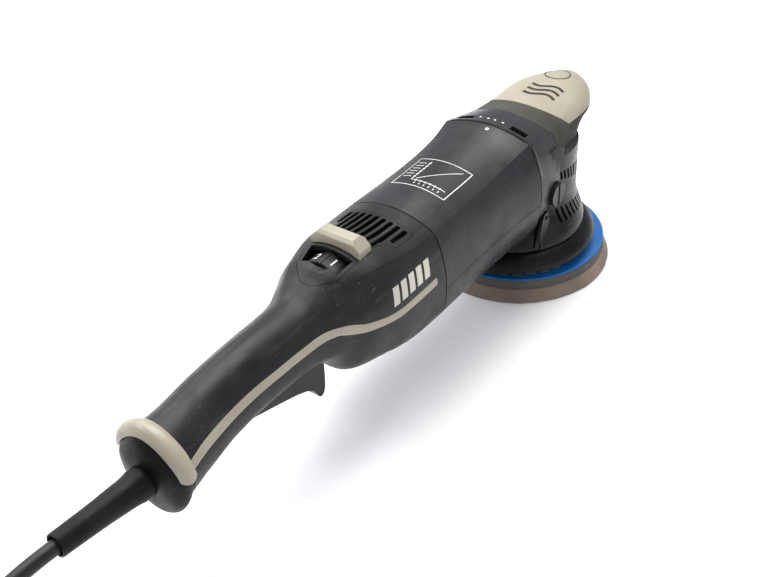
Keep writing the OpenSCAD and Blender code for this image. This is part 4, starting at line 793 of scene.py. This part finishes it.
def coil_point(u):
    """The cord's middle line in the coil after u turns, wound in and out in four layers."""
    r, z = COIL_R + 1.5 * CORD_D, 28.0
    for k in range(12):
        if k % 3 == 2 and k < 11:
            z -= CORD_D * step(u, k + 1 + 0.38, 0.16)
        r += (-CORD_D if (k // 3) % 2 == 0 else CORD_D) * step(u, k + 0.56, 0.18)
    a = math.radians(-90 - 360 * u)
    return (COIL_X + r * math.cos(a), COIL_Y + r * math.sin(a), z)


def curve_through(points, per=4):
    p = np.array(points, float)
    ext = np.vstack([2 * p[0] - p[1], p, 2 * p[-1] - p[-2]])
    out = []
    for i in range(1, len(ext) - 2):
        a, b, c, d = ext[i - 1:i + 3]
        for j in range(per):
            t = j / per
            out.append(0.5 * (2 * b + (c - a) * t + (2 * a - 5 * b + 4 * c - d) * t * t
                              + (3 * b - a - 3 * c + d) * t ** 3))
    return out + [p[-1]]


def cord():
    points = curve_through(ROUTE)[:-1]
    points += [np.array(coil_point(COIL_TURNS * i / 700)) for i in range(700)]
    points += curve_through([(x, 2 * COIL_Y, z) for x, z in TAIL_ROUTE])
    points = np.array(points) * MM
    length = float(np.linalg.norm(np.diff(points, axis=0), axis=1).sum())
    data = bpy.data.curves.new("cord", "CURVE")
    data.dimensions, data.bevel_depth, data.bevel_resolution = "3D", (CORD_D / 2 - 0.02) * MM, 3
    data.use_fill_caps = True
    spline = data.splines.new("POLY")
    spline.points.add(len(points) - 1)
    for q, p in zip(spline.points, points):
        q.co = (*p, 1)
    o = bpy.data.objects.new("mains_cord", data)
    bpy.context.scene.collection.objects.link(o)
    o.data.materials.append(SURFACES["cord_jacket"])
    stand_for(o, "power_cord", "cord_coil")
    return o, length, tuple(points[0])


# ---- Head details, pad and prints ----------------------------------------------------------


def pad():
    plate_r, pad_r = 62.5, 67

    def ripple(r, z, a):
        wave = 0.12 * math.sin(7 * a + 1) + 0.1 * math.sin(17 * a + z) + 0.08 * math.sin(31 * a)
        return (r + (wave if r > 60 else 0), z)

    side = [(6.9, 0)] + [(pad_r - 1.2, 0), (pad_r - 0.4, 0.3), (pad_r - 0.15, 0.9), (pad_r - 0.3, 1.8)]
    side += [(pad_r - 0.3 - 3.3 * t - 0.3 * math.sin(math.pi * t), 1.8 + 6.4 * t)
             for t in np.linspace(0.1, 1, 10)]
    side += [(63.1, 8.9), (62.6, 9.28), (6.9, 9.28)]
    o = lathe("pad_disc", side, (7.5, 0), "pad_foam", 200, 50, ripple)
    stand_for(o, "polishing_pad")
    foam = [(11, 9.32), (62.3, 9.32), (62.6, 9.9), (62.75, 12.7), (62.5, 15.6), (62.1, 16.18), (11, 16.18)]
    o = lathe("plate_foam_ring", foam, (7.5, 0), "plate_foam", 200, 50, ripple)
    stand_for(o, "backing_foam")
    plate = [(4.05, 16.22), (plate_r - 0.9, 16.22), (plate_r - 0.2, 16.5), (plate_r, 16.9),
             (plate_r - 0.3, 17.3), (plate_r - 1.2, 17.5), (48, 19.1), (46.5, 19.2), (34, 20.2), (19.4, 21.4), (16.4, 24.2),
             (15.9, 24.35), (4.05, 24.35)]
    stand_for(lathe("plate_disc", plate, (7.5, 0), "blue_plate", 160, 30), "backing_plate")


def shroud():
    skirt = [(49.6, 35.2), (51.0, 35.15), (52.6, 34.6), (54.6, 33.3), (56.2, 31.8), (57.4, 30.2),
             (58.2, 28.8), (58.55, 27.4), (58.5, 26), (58.15, 24.6), (57.5, 23.5), (56.4, 22.7),
             (55.8, 22.72), (55.3, 23.1), (55.2, 26.6), (53.8, 29.6), (51.5, 31.6), (49.6, 32.6)]
    stand_for(lathe("skirt", skirt, (0, 0), "black_rubber", 180, 40), "shroud_skirt")


def crown_print(name, lines, width, table, finish, lift=0.12):
    """Printed lines on the crown, each a polyline of (x, y)."""
    verts, faces = [], []
    for line in lines:
        pts = []
        for a, b in zip(line[:-1], line[1:]):
            n = max(1, int(math.hypot(b[0] - a[0], b[1] - a[1]) / 1.2))
            pts += [(a[0] + (b[0] - a[0]) * i / n, a[1] + (b[1] - a[1]) * i / n) for i in range(n)]
        pts.append(line[-1])
        base = len(verts)
        for i, (x, y) in enumerate(pts):
            p, q = pts[max(0, i - 1)], pts[min(len(pts) - 1, i + 1)]
            d = math.hypot(q[0] - p[0], q[1] - p[1]) or 1
            nx, ny = -(q[1] - p[1]) / d * width / 2, (q[0] - p[0]) / d * width / 2
            for sx, sy in ((x + nx, y + ny), (x - nx, y - ny)):
                s = station(table, sx)
                z = s[1] - (s[1] - s[3]) * (sy / s[2]) ** 2
                verts.append((sx, sy, z + lift))
        faces += [(j, j + 1, j + 3, j + 2) for j in range(base, base + 2 * len(pts) - 2, 2)]
    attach(add(name, verts, faces, finish), "housing")


def prints():
    # A plain chart on the motor housing: a frame, rising line, ticks and short bars
    x0, x1, y0, y1 = -113.6, -81.6, -19.2, 19.4
    lines = [[(x0, y0), (x1, y0), (x1, y1), (x0, y1), (x0, y0)]]
    gx, gy = x0 + 6.4, y1 - 10.6
    lines.append([(x1 - 3, gy), (gx, gy), (gx, y0 + 3)])
    lines.append([(gx + 1.8, gy - 2.6), (gx + 5.5, gy - 6.4), (x1 - 3.5, y0 + 4.5)])
    for i in range(6):
        y = gy - 3.5 * (i + 1)
        lines.append([(gx - 1, y), (gx + 1, y)])
        lines.append([(gx - 4, y - 0.8), (gx - 2.2, y - 0.8)])
        x = gx + 3.4 * (i + 1)
        lines.append([(x, gy - 1), (x, gy + 1)])
        lines.append([(x, gy + 2.6), (x, gy + 8.5)])
    crown_print("chart", lines, 0.62, BODY, WHITE_PRINT)
    ring = [(-39.4 + 0.7 * math.cos(a), -3.1 + 0.7 * math.sin(a)) for a in np.linspace(0, 2 * math.pi, 17)]
    crown_print("pip", [ring], 1.2, BODY, WHITE_PRINT)
    for i, y in enumerate((-7.5, -1.5, 3.5, 9.5)):
        dot = [(-27 + 0.45 * math.cos(a), y + 0.45 * math.sin(a)) for a in np.linspace(0, 2 * math.pi, 13)]
        crown_print(f"flange_dot_{i}", [dot], 0.8, HEAD, WHITE_PRINT)
    # A plain ring and a plain wave mark on the nose
    ring = [(61.5 + 9 * math.cos(a), 1.2 + 9 * math.sin(a)) for a in np.linspace(0, 2 * math.pi, 49)]
    crown_print("nose_ring", [ring], 0.7, HEAD, DARK_PRINT, lift=0.35)
    waves = [[(27 + 6.5 * j + 2.2 * math.sin(t * math.pi * 2), -15 + 24 * t) for t in np.linspace(0, 1, 40)]
             for j in range(3)]
    crown_print("nose_waves", waves, 2.2, HEAD, DARK_PRINT, lift=0.3)
    # Plain slanted blocks on both flanks behind the motor housing
    for sign, word in ((-1, "right"), (1, "left")):
        verts, faces = [], []
        for i in range(5):
            xa = REAR_SEAM - 12 - 7.2 * i
            for u in np.linspace(0, 1, 5):
                for w in np.linspace(0, 1, 7):
                    x = xa - 5 * u - 2.5 * (1 - w)
                    s = station(REAR, x)
                    y, z = outline(s, flank_k(s, 90.5 + 10.5 * w - 0.25 * i))
                    verts.append((x, sign * (y + 0.12), z + 0.04))
            base = i * 35
            corners = [base + a * 7 + b for a in range(4) for b in range(6)]
            faces += [(c, c + 1, c + 8, c + 7) for c in corners]
        o = add(f"flank_blocks_{word}", verts, faces, CREAM_PRINT)
        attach(o, "housing")


def seams():
    """Painted shade: dark matte bands for the shade in the recess behind the head's rear flange and in the
    rear joint, and a dark line for the shade along the flank's low ridge; also the flange's glossy black
    ledge.
    """
    for name, table, x, width, t, last, finish in (
            # The two seam lines are dark matte bands, as painted shade in the seam gaps; the flange ledge is
            # glossy black plastic.
            ("front_seam_shade", BODY, FRONT_SEAM - 0.5, 1.2, -0.07, 52, SEAM_SHADE),
            ("flange_ledge", HEAD, FRONT_SEAM + 1.7, 2.6, -0.3, 30, GLOSS_BLACK),
            ("rear_seam_shade", BODY, REAR_SEAM + 0.05, 0.7, -0.05, 52, SEAM_SHADE)):
        ks = FULL_KS[:last]
        sides = [station(table, x + w) for w in (width / 2, 0, -width / 2)]
        upper = [row(inset(r, t * f), ks, False) for r, f in zip(sides, (0.2, 1, 0.2))]
        lower = [row(inset(r, 0.6), ks, False) for r in sides]
        o = skin(name, upper, lower, False, finish)
        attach(o, "housing")
    # A dark matte line along each flank: painted shade along the low ridge.
    for sign in (-1, 1):
        xs = np.linspace(FRONT_SEAM - 1.4, REAR_SEAM + 1, 60)
        edge = []
        for w in (0.16, -0.16):
            edge.append([])
            for x in xs:
                r = station(BODY, x)
                y, z = outline(r, 2.02)
                edge[-1].append((x, sign * (y + 0.05), z - 1.5 + w))
        n = len(xs)
        o = add(f"flank_ridge_shade_{'left' if sign > 0 else 'right'}", edge[0] + edge[1],
                [(i, i + 1, n + i + 1, n + i) for i in range(n - 1)], SEAM_SHADE)
        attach(o, "housing")


# ---- Build ---------------------------------------------------------------------------------
camera()
mains, mains_length, mains_exit = cord()
studio()
motor_housing()
handle()
grille_and_dial()
nose()
arch_and_bumper()
strain_relief()
pad()
shroud()
seams()
prints()
EDGE_ROUNDS = {"gear_housing": 0.5, "neck_housing": 0.35, "side_plugs": 0.4, "shroud_ring": 0.2,
               "shroud_clips": 0.4, "dial_guard": 0.8, "paddle_trigger": 0.7, "plug": 1.0}
refined = {name: refine(name, width) for name, width in EDGE_ROUNDS.items()}
for name, o in nodes.items():
    if not o.hide_render:
        o.data.materials.clear()
        o.data.materials.append(SURFACES[node_slot[name]])
